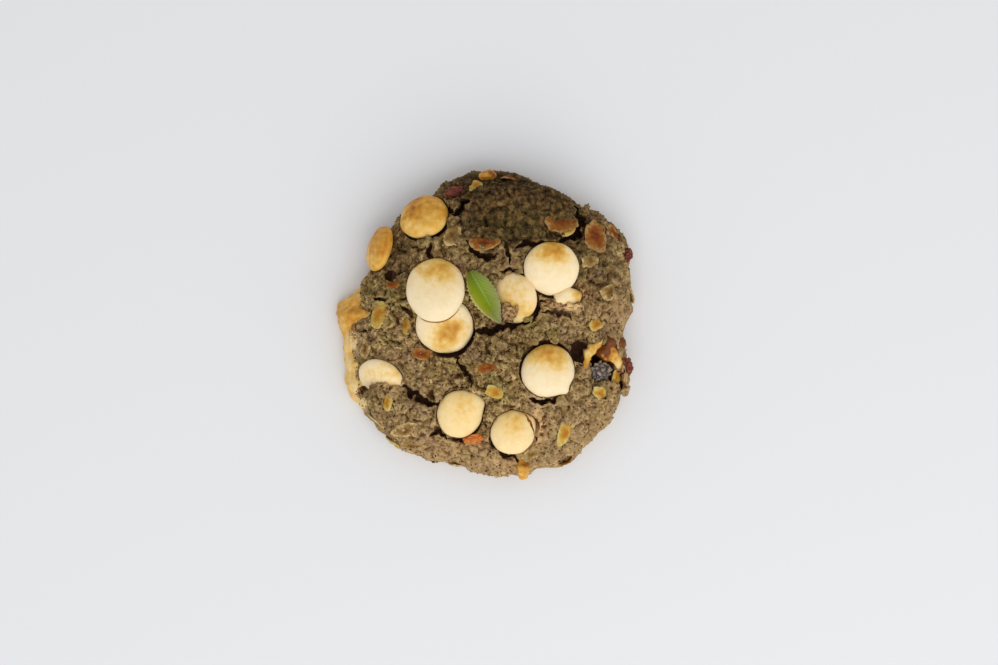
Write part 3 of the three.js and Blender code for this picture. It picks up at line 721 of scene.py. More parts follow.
def cut_with(piece, tool, operation):
    cut = piece.modifiers.new("cut", "BOOLEAN")
    cut.operation = operation
    cut.solver = "MANIFOLD"
    cut.object = tool


def carve(piece, cutters, operation="DIFFERENCE"):
    """Cuts the cutters, first joined to one another, out of a piece, or joins them to it."""
    whole = add_object("joined cutters", cutters[0].data.copy())
    for cutter in cutters[1:]:
        cut_with(whole, cutter, "UNION")
    apply_modifiers(whole)
    cut_with(piece, whole, operation)
    apply_modifiers(piece)
    remove([whole])


def remesh(piece, voxel):
    """Gives a piece an even skin of small faces."""
    even = piece.modifiers.new("even skin", "REMESH")
    even.mode = "VOXEL"
    even.voxel_size = voxel * MM
    apply_modifiers(piece)


def thin_out(piece, triangles):
    """Merges the flattest faces until so many triangles are left."""
    piece.data.calc_loop_triangles()
    merged = piece.modifiers.new("merged faces", "DECIMATE")
    merged.ratio = min(1, triangles / len(piece.data.loop_triangles))
    apply_modifiers(piece)


def ball_points(detail):
    """Points and faces of a round ball of even triangles."""
    ball = bmesh.new()
    bmesh.ops.create_icosphere(ball, subdivisions=detail, radius=1)
    points = np.array([vertex.co for vertex in ball.verts])
    faces = [[vertex.index for vertex in face.verts] for face in ball.faces]
    ball.free()
    return points, faces


# ---- cutters and lumps ----
def stations_along(path):
    """Even stations along a path, each with the direction that the path runs in."""
    corners = [Vector((x, y, 0)) for x, y in path]
    lengths = [(b - a).length for a, b in zip(corners, corners[1:])]
    whole = sum(lengths)
    count = max(6, round(whole / CRACK_STEP))
    stations = []
    for step in range(count + 1):
        passed = whole * step / count
        for a, b, length in zip(corners, corners[1:], lengths):
            if passed <= length + 1e-6:
                stations.append((a.lerp(b, min(1, passed / length)), (b - a).normalized()))
                break
            passed -= length
    return stations


def slot_form(name, order, width, depth, path, rows, sway=1.0):
    """A jagged slot along a path, with a point on each side of it for each of three rows."""
    stations = stations_along(path)
    last = len(stations) - 1
    steps = np.arange(last + 1)
    wander = noise(np.stack((steps * 0.55, steps * 0 + order, steps * 0), axis=1))
    jag = noise(np.stack((steps * 0.9, steps * 0 + order, steps * 0 + 4), axis=1))
    taper = np.sin(np.pi * np.clip(steps / last, 0.02, 0.98)) ** 0.6
    points = []
    for step, (point, along) in enumerate(stations):
        across = Vector((-along.y, along.x, 0))
        middle = point + across * wander[step] * (0.5 + 0.6 * width) * sway
        half = 0.04 + 0.5 * width * taper[step] * (1 + 0.9 * jag[step])
        top = crust_top(middle.x, middle.y)
        floor_depth = depth * (0.35 + 0.65 * taper[step])
        for height, share in rows:
            rise = top + (-floor_depth if height == CRACK_FLOOR else height)
            for side in (1, -1):
                points.append(middle + across * side * half * share + Vector((0, 0, rise)))
    around = (0, 2, 4, 5, 3, 1)
    faces = []
    for step in range(last):
        here, ahead = step * 6, step * 6 + 6
        for a, b in zip(around, around[1:] + around[:1]):
            faces.append((here + a, here + b, ahead + b, ahead + a))
    faces.append(tuple(reversed(around)))
    faces.append(tuple(last * 6 + corner for corner in around))
    return make_piece(name, points, faces)


def crack_forms(rows):
    return [slot_form(f"crack_{order}", order, *crack, rows) for order, crack in enumerate(CRACKS)]


def lump_form(name, order, rags, x, y, above, half, turn=0):
    """A ragged lump with its middle at a height over the crust."""
    points, faces = ball_points(4)
    share, close, shift = rags
    ragged = 1 + share * noise(points * close + order * shift)
    middle = Matrix.Translation((x, y, crust_top(x, y) + above))
    place = middle @ Matrix.Rotation(math.radians(turn), 4, "Z")
    return make_piece(name, points * ragged[:, None] * np.array(half), faces, place)


def crack_distance(x, y):
    """How far each point lies from the nearest crack, seen from above."""
    nearest = np.full(len(x), 99.0)
    for _, _, path in CRACKS:
        for (from_x, from_y), (to_x, to_y) in zip(path, path[1:]):
            run_x, run_y = to_x - from_x, to_y - from_y
            along = ((x - from_x) * run_x + (y - from_y) * run_y) / (run_x**2 + run_y**2)
            along = np.clip(along, 0, 1)
            away = np.hypot(x - from_x - along * run_x, y - from_y - along * run_y)
            nearest = np.minimum(nearest, away)
    return nearest


# ---- chocolate drops ----
def drop_points(name, half, thick, extra, rings, spokes):
    """A drop: flat underneath, rounded at the rim and domed on top, with its rim on Z = 0.

    With some extra all round, it is the form of its socket.
    """
    under = thick * 0.36 + extra
    over = thick * 0.64 + extra
    open_mouth = extra and name not in LAPPED_DROPS
    order = len(name)
    lip_turn, lip_reach, lip_half = LIPS.get(name, (0, 0, 1))
    points = [(0, 0, -under)]
    for turn in np.linspace(-math.pi / 2, math.pi / 2, rings + 1)[1:-1]:
        reach = math.cos(turn) ** (0.35 if turn < 0 or open_mouth else 0.8)
        rise = -under * abs(math.sin(turn)) if turn < 0 else over * math.sin(turn) ** 1.1
        for spoke in range(spokes):
            angle = 2 * math.pi * spoke / spokes
            off_lip = (math.degrees(angle) - lip_turn + 180) % 360 - 180
            wobble = 0.012 * math.sin(2 * angle + order) + 0.01 * math.sin(3 * angle + 2 * order)
            wobble += 0.006 * math.sin(7 * angle + order)
            lip = lip_reach * math.exp(-((off_lip / lip_half) ** 2)) * math.cos(turn) ** 2
            x = ((half[0] + extra) * (1 + wobble) + lip) * reach * math.cos(angle)
            y = ((half[1] + extra) * (1 + wobble) + lip) * reach * math.sin(angle)
            points.append((x, y, rise))
    points.append((0, 0, over))
    last = len(points) - 1
    faces = []
    for spoke in range(spokes):
        ahead = (spoke + 1) % spokes
        faces.append((0, 1 + ahead, 1 + spoke))
        faces.append((last, last - spokes + spoke, last - spokes + ahead))
        for ring in range(rings - 2):
            low = 1 + ring * spokes
            faces.append((low + spoke, low + ahead, low + spokes + ahead, low + spokes + spoke))
    return np.array(points), faces


def drop_form(name):
    """Half lengths, thickness and place of a drop."""
    if name == WALL_DROP[0]:
        _, direction, height, half, thick, sink = WALL_DROP
        seat, normal = wall_seat(direction, height)
        normal.rotate(Quaternion((0, 0, 1), math.radians(WALL_DROP_TURN)))
        normal = (normal + Vector((0, 0, WALL_DROP_RAISE))).normalized()
        return half, thick, placing((seat, normal), 0, -sink)
    at, half, turn, thick, sink, lean = DROPS[name]
    return half, thick, placing(crust_seat(*at), turn, -sink, lean)


def drop_socket(name, gap=(0, 0)):
    """The cutter for a drop's socket, moved by the gap."""
    half, thick, place = drop_form(name)
    points, faces = drop_points(name, half, thick, SOCKET_GAP, *SOCKET_DETAIL)
    if name not in LAPPED_DROPS:
        points[:, 2] += SOCKET_MOUTH * smooth(points[:, 2], 0, 1.2)
    return make_piece(f"socket_{name}", points, faces, Matrix.Translation((*gap, 0)) @ place)


def drop_piece(name):
    """A drop, a little dented, or a ragged chip."""
    half, thick, place = drop_form(name)
    points, faces = drop_points(name, half, thick, 0, *DROP_DETAIL)
    if name in CHIPS:
        points *= 1 + CHIP_RAGS * noise(points / 2.6 + 5)[:, None]
    dents = noise(points / 2.4 + len(name)) + 0.5 * noise(points / 1.1 + len(name))
    points[:, 2] += DENT_DEPTH * dents
    points[:, :2] *= 1 + DENT_SPREAD * dents[:, None]
    return make_piece(f"{name}_chocolate", points, faces, place)


def shape_drop(name, upper_socket, hole):
    """A drop with what is cut from it or run together with it."""
    piece = drop_piece(name)
    if name == "drop_pair_lower":
        carve(piece, [upper_socket])
    if name == "drop_left_sunk":
        carve(piece, [hole])
    if name == LIP_SLIT[0]:
        slit = slot_form("slit", len(CRACKS), *LIP_SLIT[1:], SHARP_CRACK, SLIT_SWAY)
        carve(piece, [slit])
        remove([slit])
    if name == "chip_pocket":
        lumps = [
            lump_form(f"lump_{order}", len(FLAPS) + order, FLAP_RAGS, *lump)
            for order, lump in enumerate(CHIP_LUMPS)
        ]
        carve(piece, lumps, "UNION")
        remove(lumps)
        soften(piece, *CHIP_SOFTENING)
    return piece


def colour_chocolate(piece, name):
    """Marks where the piece is toasted and painted with shade, how yellow it is and where it is hollow."""
    mesh = piece.data
    points = to_cookie(read_points(mesh))
    middle = (points.min(axis=0) + points.max(axis=0)) / 2
    x, y = points[:, 0] - middle[0], points[:, 1] - middle[1]
    zones = [(spot_x, spot_y, size, size, amount) for spot_x, spot_y, size, amount in TOAST_AND_SHADE_SPOTS[name]]
    blotch = 1 + 0.6 * noise(points / 2.2) + 0.5 * noise(points / 0.9)
    low = smooth(middle[2] - points[:, 2], 0.2, 2.4)
    store(mesh, "toast", np.clip(spots(x, y, zones) * blotch + 0.16 * low, 0, 1.1))
    store(mesh, "yellow", np.full(len(points), YELLOWED.get(name, 0.0)))
    store(mesh, "hollow", hollow_share(mesh, points, HOLLOW_ROUNDS))


def hollow_share(mesh, points, rounds):
    """How far each point lies in a hollow, in millimetres, against the skin round it."""
    bent = neighbour_mean(mesh, points, rounds) - points
    return np.einsum("ij,ij->i", bent, read_normals(mesh))


# ---- melted chocolate ----
def soften(piece, rounds, relief):
    """Runs the lumps of a piece together and gives them a little relief."""
    remesh(piece, MELT_VOXEL)
    mesh = piece.data
    points = neighbour_mean(mesh, read_points(mesh) / MM, rounds)
    write_points(mesh, points * MM)
    rough = relief * (noise(points / 1.6 + 3) + 0.5 * noise(points / 0.7 + 8))
    write_points(mesh, (points + read_normals(mesh) * rough[:, None]) * MM)


def uneven_bank(points):
    """Lets the melted edge rise and fall along the side, sink at its ends and lean in to the dough."""
    along = points[:, 1]
    line = np.stack((along, 0 * along, 0 * along), axis=1)
    rise = 0.3 * noise(line / 2.3 + 7)
    for place, half, share in BANK_RISES:
        rise += share * np.exp(-(((along - place) / half) ** 2))
    ends = smooth(along, -23, -15) * (1 - smooth(along, 5, 12))
    bank = points.copy()
    bank[:, 2] *= (0.56 + 0.3 * ends) * (1 + rise)
    start, lean = BANK_LEAN
    bank[:, 0] += lean * np.maximum(0, bank[:, 2] - start)
    return bank


def melted_piece(name, solid):
    """The solid of the same name, rounded and swollen, with runs and dents."""
    mesh = solid.data.copy()
    shell = bmesh.new()
    shell.from_mesh(mesh)
    bmesh.ops.remove_doubles(shell, verts=shell.verts, dist=1e-6)
    shell.to_mesh(mesh)
    shell.free()
    mesh.materials.clear()
    piece = add_object(f"{name}_chocolate", mesh)
    mesh.name = piece.name
    remesh(piece, MELT_VOXEL)
    mesh = piece.data
    points = neighbour_mean(mesh, read_points(mesh) / MM, MELT_ROUNDS)
    middle = (points.min(axis=0) + points.max(axis=0)) / 2
    if name == "melted_edge":
        middle[2] = 0
    points = middle + (points - middle) * MELT_SWELL[name] + MELT_SHIFT.get(name, (0, 0, 0))
    if name == "melted_edge":
        points = uneven_bank(points)
    write_points(mesh, points * MM)
    broad, close = MELT_RELIEF[name]
    runs = broad * noise(points / MELT_RUNS + 3)
    relief = runs + close * noise(points / 1.4 + 8) + 0.3 * noise(points / 0.7)
    points += read_normals(mesh) * (relief - 0.1)[:, None]
    points[:, 2] = np.maximum(points[:, 2], 0)
    write_points(mesh, points * MM)
    return piece


# ---- leaf ----
def leaf_bed(x, y):
    """Height of the crust under the leaf, evened out a little."""
    around = ((0, 0), (2, 0), (-2, 0), (0, 2), (0, -2))
    return sum(crust_height(x + step_x, y + step_y) for step_x, step_y in around) / len(around)


def leaf_height(x, y, along, side):
    """Middle of the leaf's thickness: folded a little along its midrib, and wavy."""
    folded = LEAF_FOLD * np.abs(side) * np.sin(np.pi * along)
    waved = LEAF_WAVE * np.sin(along * 9 + side * 2)
    return leaf_bed(x, y) + LEAF_LIFT + folded + waved


def leaf_half_width(along):
    return LEAF_WIDE / 2 * np.sin(np.pi * np.clip(along, 0.001, 0.999) ** 0.85) ** 0.8


def vein_share(along, side):
    """The midrib and the side veins, as a share from 0 to 1."""
    midrib = np.exp(-((side / 0.06) ** 2))
    run = (along - 0.3 * np.abs(side)) * LEAF_VEINS
    off = np.abs(run - np.floor(run) - 0.5) * 2
    return np.maximum(midrib, 0.7 * smooth(off, 0.7, 0.98) * smooth(1 - np.abs(side), 0.02, 0.3))


def leaf_piece():
    """The leaf: a thin closed sheet with a notched edge, dented along its veins."""
    rows, columns = LEAF_GRID
    pointing = math.radians(LEAF_TURN)
    along, side = np.meshgrid(
        np.linspace(0.03, 0.985, rows + 1), np.linspace(-1, 1, columns + 1), indexing="ij"
    )
    along, side = along.ravel(), side.ravel()
    notch = 1 + 0.05 * np.sin(along * 95) * np.abs(side) ** 6
    half = side * leaf_half_width(along) * notch
    forward = (along - 0.5) * LEAF_LONG
    x = LEAF_PLACE[0] + forward * math.cos(pointing) - half * math.sin(pointing)
    y = LEAF_PLACE[1] + forward * math.sin(pointing) + half * math.cos(pointing)
    middle = leaf_height(x, y, along, side)
    vein = vein_share(along, side)
    thin = LEAF_THICK / 2 * (1 - 0.6 * np.abs(side) ** 4)
    top = np.stack((x, y, middle + thin - 0.16 * vein), axis=1)
    under = np.stack((x, y, middle - thin - 0.22 * vein), axis=1)
    points = np.concatenate((top, under))
    count = len(top)
    faces = []
    for row in range(rows):
        for column in range(columns):
            a = row * (columns + 1) + column
            b = a + columns + 1
            faces.append((a, b, b + 1, a + 1))
            faces.append((count + a, count + a + 1, count + b + 1, count + b))
        first = row * (columns + 1)
        last = first + columns
        faces.append((first, count + first, count + first + columns + 1, first + columns + 1))
        faces.append((last, last + columns + 1, count + last + columns + 1, count + last))
    end = rows * (columns + 1)
    for column in range(columns):
        faces.append((column, column + 1, count + column + 1, count + column))
        faces.append((end + column, count + end + column, count + end + column + 1, end + column + 1))
    piece = make_piece("young_leaf", points, faces)
    for name, values in (("vein", vein), ("side", side), ("along", along)):
        store(piece.data, name, np.concatenate((values, values)))
    return piece


def press_under_leaf(points):
    """Keeps the dough below the leaf that lies on it."""
    pointing = math.radians(LEAF_TURN)
    x, y = points[:, 0] - LEAF_PLACE[0], points[:, 1] - LEAF_PLACE[1]
    forward = x * math.cos(pointing) + y * math.sin(pointing)
    across = -x * math.sin(pointing) + y * math.cos(pointing)
    along = forward / LEAF_LONG + 0.5
    side = across / np.maximum(0.3, leaf_half_width(along))
    below = leaf_height(points[:, 0], points[:, 1], along, np.clip(side, -1, 1)) - LEAF_CLEARANCE
    shaded = (along > -0.02) & (along < 1.02) & (np.abs(side) < 1.12)
    points[:, 2] = np.where(shaded, np.minimum(points[:, 2], np.maximum(below, 8)), points[:, 2])


# ---- berries ----
def berry_place(name):
    at, _, turn, lift = BERRIES[name]
    return placing(crust_seat(*at), turn, lift)


def berry_socket(name):
    """The cutter for a berry's socket."""
    points, faces = ball_points(3)
    half = np.array(BERRIES[name][1]) + SOCKET_GAP
    return make_piece(f"socket_{name}", points * half, faces, berry_place(name))


def berry_piece(name):
    """A dried berry: knobbly where it is dark, and folded where it is red."""
    points, faces = ball_points(5)
    lumps = 0.9 + 0.26 * noise(points * 1.6 + len(name))
    if name == "dark_berry":
        edge, value = clump_cells(points * 1.6 + 0.3 * noise(points * 2)[:, None] + 8)
        lumps += 0.3 * (smooth(edge, 0, 0.6) - 0.5) + 0.3 * (value - 0.5)
        lumps += 0.16 * noise(points * 5) + 0.1 * noise(points * 11)
    else:
        folds = np.abs(noise(points * 2.2 + len(name))) + 0.5 * np.abs(noise(points * 5.0 + 3))
        lumps += 0.8 * (folds - 0.12)
    points = points * lumps[:, None] * np.array(BERRIES[name][1])
    piece = make_piece(f"{name}_dried", points, faces, berry_place(name))
    mesh = piece.data
    store(mesh, "hollow", hollow_share(mesh, to_cookie(read_points(mesh)), HOLLOW_ROUNDS))
    return piece


# ---- oat flakes ----
def ragged_ring(spokes, order):
    """Directions round a ring, and points on it at which each ring has noise of its own."""
    turns = 2 * math.pi * np.arange(spokes) / spokes
    return turns, np.stack((np.cos(turns), np.sin(turns), 0 * turns + order), axis=1)


def flake_points(long, wide, order, cup, rings, spokes):
    """A rolled oat: a thin curled oval with a ragged rim and a crease along its middle, or cupped."""
    top, under, share = [], [], []
    turns, circle = ragged_ring(spokes, order)
    rim_noise = 0.42 * noise(circle * (1.5, 1.5, 1)) + 0.16 * noise(circle * (4, 4, 1) + 7)
    for ring in range(rings):
        reach = math.sin(math.pi / 2 * (ring + 0.3) / (rings - 0.7))
        for spoke in range(spokes):
            angle = turns[spoke]
            ragged = 1 + rim_noise[spoke] + 0.02 * math.sin(13 * angle + order)
            flat_x, flat_y = math.cos(angle), math.sin(angle)
            x = long / 2 * reach * ragged * math.copysign(abs(flat_x) ** 0.8, flat_x)
            y = wide / 2 * reach * ragged * math.copysign(abs(flat_y) ** 0.8, flat_y)
            crease = 0.22 * math.exp(-((y / 0.32) ** 2)) * (1 - reach)
            curl = 0.3 * reach**2 * math.sin(2 * angle + order)
            swell = 0.1 * math.sin(2.6 * x + order) * (1 - reach) + 0.1 * math.sin(2.2 * y + order)
            dome = (0.36 - cup) * (1 - reach**2)
            thick = 0.34 * (1 - reach**4) + 0.06
            top.append((x, y, dome - crease + curl + swell + thick / 2))
            under.append((x, y, 0.2 * dome + curl + swell - thick / 2 - 0.2))
            share.append(reach)
    count = len(top)
    faces = [tuple(range(spokes)), tuple(range(count, count + spokes))]
    for ring in range(rings - 1):
        for spoke in range(spokes):
            ahead = (spoke + 1) % spokes
            a, b = ring * spokes + spoke, ring * spokes + ahead
            c, d = b + spokes, a + spokes
            faces.append((a, d, c, b))
            faces.append((count + a, count + b, count + c, count + d))
    rim = count - spokes
    for spoke in range(spokes):
        ahead = (spoke + 1) % spokes
        faces.append((rim + spoke, count + rim + spoke, count + rim + ahead, rim + ahead))
    return np.array(top + under), faces, np.array(share + share)


def curled(points, long, arc):
    """Bends a flake sideways along an arc, in degrees."""
    radius = long / math.radians(arc)
    turn = points[:, 0] / radius
    out = radius - points[:, 1]
    return np.stack((out * np.sin(turn), radius - out * np.cos(turn), points[:, 2]), axis=1)


def dough_seat(skin, x, y):
    """Seat on the finished dough: its own height there, with the normal of the crust's broad slope."""
    point, normal = crust_seat(x, y)
    heights = []
    for step_x, step_y in itertools.product((-0.9, 0, 0.9), repeat=2):
        above = Vector((x + step_x, y + step_y, 2 * DOUGH_HEIGHT)) + FOOTPRINT_SHIFT
        found = skin.ray_cast(above * MM, Vector((0, 0, -1)))[0]
        heights.append(found.z / MM if found else point.z)
    point.z = float(np.clip(np.median(heights), point.z - 1.5, point.z + 3))
    return point, normal


def flake_seats(skin):
    """Kind, seat and form of every flake: those that show, then those spread round the side."""
    seats = [(kind, dough_seat(skin, x, y), *form) for kind, x, y, *form in FLAKES]
    draw = seeded_draw(FLAKE_SEED)
    kinds = ("pale", "green", "pale", "toasted")
    for order in range(WALL_FLAKES):
        direction = 360 * (order + 0.7 * draw()) / WALL_FLAKES
        point, normal = wall_seat(direction, 3 + 6 * draw())
        long = 4.6 + 2.8 * draw()
        seat = (point - normal * WALL_FLAKE_SINK, normal)
        seats.append((kinds[order % 4], seat, long, long * 0.62, 360 * draw(), 10 * draw()))
    first = len(FLAKES)
    return [seat for order, seat in enumerate(seats) if order - first not in BARE_SIDE]


def covered(x, y):
    """True where a piece of chocolate, a berry, a large flake, a pocket or the leaf lies on the crust."""
    for at, half, *_ in (*DROPS.values(), *BERRIES.values()):
        if math.hypot((x - at[0]) / (half[0] + 2), (y - at[1]) / (half[1] + 2)) < 1:
            return True
    for pocket_x, pocket_y, _, (half_x, half_y, _) in POCKETS:
        if math.hypot((x - pocket_x) / (half_x + 1), (y - pocket_y) / (half_y + 1)) < 1:
            return True
    if any(math.hypot(x - flake[1], y - flake[2]) < flake[3] / 2 + 1 for flake in FLAKES):
        return True
    return math.hypot(x - LEAF_PLACE[0], y - LEAF_PLACE[1]) < LEAF_LONG / 2


def oat_bit_seats(skin):
    """Seats of the small oat bits, which keep clear of what lies on the crust."""
    draw = seeded_draw(OAT_BIT_SEED)
    seats = []
    while len(seats) < OAT_BITS:
        direction, reach = 2 * math.pi * draw(), OAT_BIT_REACH * math.sqrt(draw())
        x, y = reach * math.cos(direction), reach * math.sin(direction)
        long = 1.8 + 2.6 * draw()
        slim = 0.45 + 0.3 * draw()
        turn = 360 * draw()
        tilt = 50 * (draw() - 0.5)
        place = np.array([[x, y]])
        clear = crack_distance(place[:, 0], place[:, 1])[0] > 1.5 and smoothness(place)[0] < 0.4
        if clear and not covered(x, y) and reach < outline_radius(np.array([direction]))[0] - 3:
            seats.append(("bit", dough_seat(skin, x, y), long, long * slim, turn, tilt))
    return seats


def flake_place(kind, seat, turn, tilt):
    """Matrix that takes a flake, sunk a little, turned and tilted, to its seat."""
    lift = -OAT_BIT_SINK if kind == "bit" else FLAKE_LIFT
    return placing(seat, turn, lift) @ Matrix.Rotation(math.radians(tilt), 4, "Y")


def flake_plug(order, kind, seat, long, wide, turn, tilt):
    """A ragged plug that clears the dough off a flake, short of its rim."""
    share, low, high = FLAKE_PLUG
    spokes = PLUG_SPOKES
    turns, circle = ragged_ring(spokes, order)
    reach = share * (1 + 0.5 * noise(circle * (2.2, 2.2, 1)))
    points = [
        (long / 2 * r * math.cos(angle), wide / 2 * r * math.sin(angle), height)
        for height in (low, high)
        for angle, r in zip(turns, reach)
    ]
    faces = [tuple(range(spokes)), tuple(range(spokes, 2 * spokes))]
    for spoke in range(spokes):
        ahead = (spoke + 1) % spokes
        faces.append((spoke, ahead, spokes + ahead, spokes + spoke))
    return make_piece(f"plug_{order}", points, faces, flake_place(kind, seat, turn, tilt))


def flake_pieces(seats):
    """One piece of flakes for each kind."""
    kinds = {}
    for order, (kind, seat, long, wide, turn, tilt, *arc) in enumerate(seats):
        detail = BIT_DETAIL if kind == "bit" else FLAKE_DETAIL
        cup = FLAKE_CUP * long / 8 if kind == "toasted" else 0.0
        points, faces, reach = flake_points(long, wide, order * 1.7, cup, *detail)
        if arc:
            points = curled(points, long, arc[0])
        place = flake_place(kind, seat, turn, tilt)
        points = points @ np.array(place.to_3x3()).T + np.array(place.translation)
        points += FLAKE_ROUGH * (noise_on_axes(points, 0.9, 1) + noise_on_axes(points, 2, 1))
        kinds.setdefault(kind, []).append((points, faces, reach, np.full(len(points), order * 0.37 % 1)))
    pieces = {}
    for kind, flakes in kinds.items():
        faces, shift = [], 0
        for points, flake_faces, _, _ in flakes:
            faces += [tuple(corner + shift for corner in face) for face in flake_faces]
            shift += len(points)
        piece = make_piece(f"{kind}_oat_flakes", np.concatenate([flake[0] for flake in flakes]), faces)
        store(piece.data, "reach", np.concatenate([flake[2] for flake in flakes]))
        store(piece.data, "tint", np.concatenate([flake[3] for flake in flakes]))
        pieces[kind] = piece
    return pieces


# ---- dough ----
def dough_points(points):
    """Lays a round ball over the half section, so that its triangles stay even."""
    share, height, area = half_section()
    passed = (1 - points[:, 2]) / 2
    step = np.clip(np.searchsorted(area, passed - 1e-9), 1, len(area) - 1)
    along = np.clip((passed - area[step - 1]) / (area[step] - area[step - 1]), 0, 1)
    on_base = step == len(area) - 1
    between = share[step - 1] + (share[step] - share[step - 1]) * along
    laid = np.where(on_base, share[step - 1] * np.sqrt(1 - along), between)
    stood = np.where(on_base, 0, height[step - 1] + (height[step] - height[step - 1]) * along)
    return skin_points(np.arctan2(points[:, 1], points[:, 0]), laid, stood)


def fine_relief(points):
    """Clumps parted by crevices, with crags and grains on them."""
    relief = np.full(len(points), -0.1)
    for order, (size, height) in enumerate(FINE_RELIEF):
        relief += height * noise(points / size + 11 * order)
    warp = noise_on_axes(points, 3, 3)
    for size, step, depth in CLUMPS:
        edge, value = clump_cells((points + 0.35 * size * warp) / size)
        inside = smooth(edge, 0.02, 0.35)
        relief += inside * step * (value - 0.5) - depth * (1 - inside)
    return relief + 0.35


def smoothness(points):
    """Where the crust is smoother: the mound at the back and the band at the right edge."""
    calm = spots(points[:, 0], points[:, 1], SMOOTH_ZONES)
    return np.clip(calm, 0, 1)


def dough_piece(cutters):
    """The dough with its flaps, pockets, cracks and relief, and with the sockets cut out of it."""
    points, faces = ball_points(7)
    piece = make_piece("baked_dough", dough_points(points), faces)
    flaps = [lump_form(f"flap_{order}", order, FLAP_RAGS, *flap) for order, flap in enumerate(FLAPS)]
    carve(piece, flaps, "UNION")
    hollows = crack_forms(WORN_CRACK)
    for order, pocket in enumerate((EDGE_HOLE, *POCKETS)):
        hollows.append(lump_form(f"pocket_{order}", order, POCKET_RAGS, *pocket))
    carve(piece, hollows)
    remove(flaps + hollows)
    remesh(piece, SKIN_VOXEL)
    mesh = piece.data
    points = to_cookie(read_points(mesh))
    off_base = smooth(points[:, 2], 0.1, 1.6)
    calm = 1 - 0.4 * smoothness(points)
    calm *= 0.35 + 0.65 * smooth(crack_distance(points[:, 0], points[:, 1]), 0.3, 1.6)
    calm *= SIDE_RELIEF + (1 - SIDE_RELIEF) * smooth(points[:, 2], 5, 13)
    relief = fine_relief(points) * calm * off_base
    pits = BASE_PIT_DEPTH * smooth(noise(points / 2.2 + 41) + 0.4 * noise(points / 5 + 2), 0.16, 0.34)
    points += read_normals(mesh) * relief[:, None]
    points[:, 2] += pits * (1 - off_base)
    press_under_leaf(points)
    low, high = CAD_BOX
    points = np.clip(points, low, high)
    write_points(mesh, (points + np.array(FOOTPRINT_SHIFT)) * MM)
    thin_out(piece, DOUGH_TRIANGLES)
    cracks = crack_forms(SHARP_CRACK)
    carve(piece, cutters + cracks)
    remove(cracks)
    return piece


def colour_dough(piece):
    """Marks the zones, hollows and depths that the dough's colour, with its painted shade and painted
    highlight, and its crumbs depend on.
    """
    mesh = piece.data
    points = to_cookie(read_points(mesh))
    x, y = points[:, 0], points[:, 1]
    upper = smooth(points[:, 2], 2, 9)
    store(mesh, "hollow", hollow_share(mesh, points, DOUGH_HOLLOW_ROUNDS))
    paled = np.clip(spots(x, y, PALED_ZONES), 0, 1)
    store(mesh, "paled", paled)
    # The browned zones carry painted shade as well as the crust's own darker bake.
    for name, zones in (("browned_and_shaded", BROWNED_AND_SHADED_ZONES), ("greened", GREENED_ZONES), ("toasted", TOASTED_ZONES)):
        store(mesh, name, np.clip(spots(x, y, zones), 0, 1) * upper)
    store(mesh, "base", 1 - smooth(points[:, 2], 0.1, 1.2))
    # How far the dough lies below the crust, for the painted shade in the cracks and pockets.
    inner = 1 - smooth(np.hypot(x, y) / outline_radius(np.arctan2(y, x)), 0.86, 0.95)
    inner *= smooth(points[:, 2], 1, 4)
    store(mesh, "depth", np.clip((crust_height(x, y) - points[:, 2]) * inner, 0, 5))
    off_cracks = smooth(crack_distance(x, y), 0.6, 1.4)
    shallow = 1 - smooth(crust_height(x, y) - points[:, 2], 0.8, 1.6)
    bare = 1 - 0.9 * smooth(paled, 0.7, 0.95)
    store(mesh, "crumbs", upper * (1 - 0.8 * smoothness(points)) * off_cracks * shallow * bare)


# ---- crumbs ----
def random_vector(tree, low, high, seed):
    inputs = {0: low, 1: high, "Seed": seed}
    return node(tree, "FunctionNodeRandomValue", data_type="FLOAT_VECTOR", inputs=inputs).outputs["Value"]


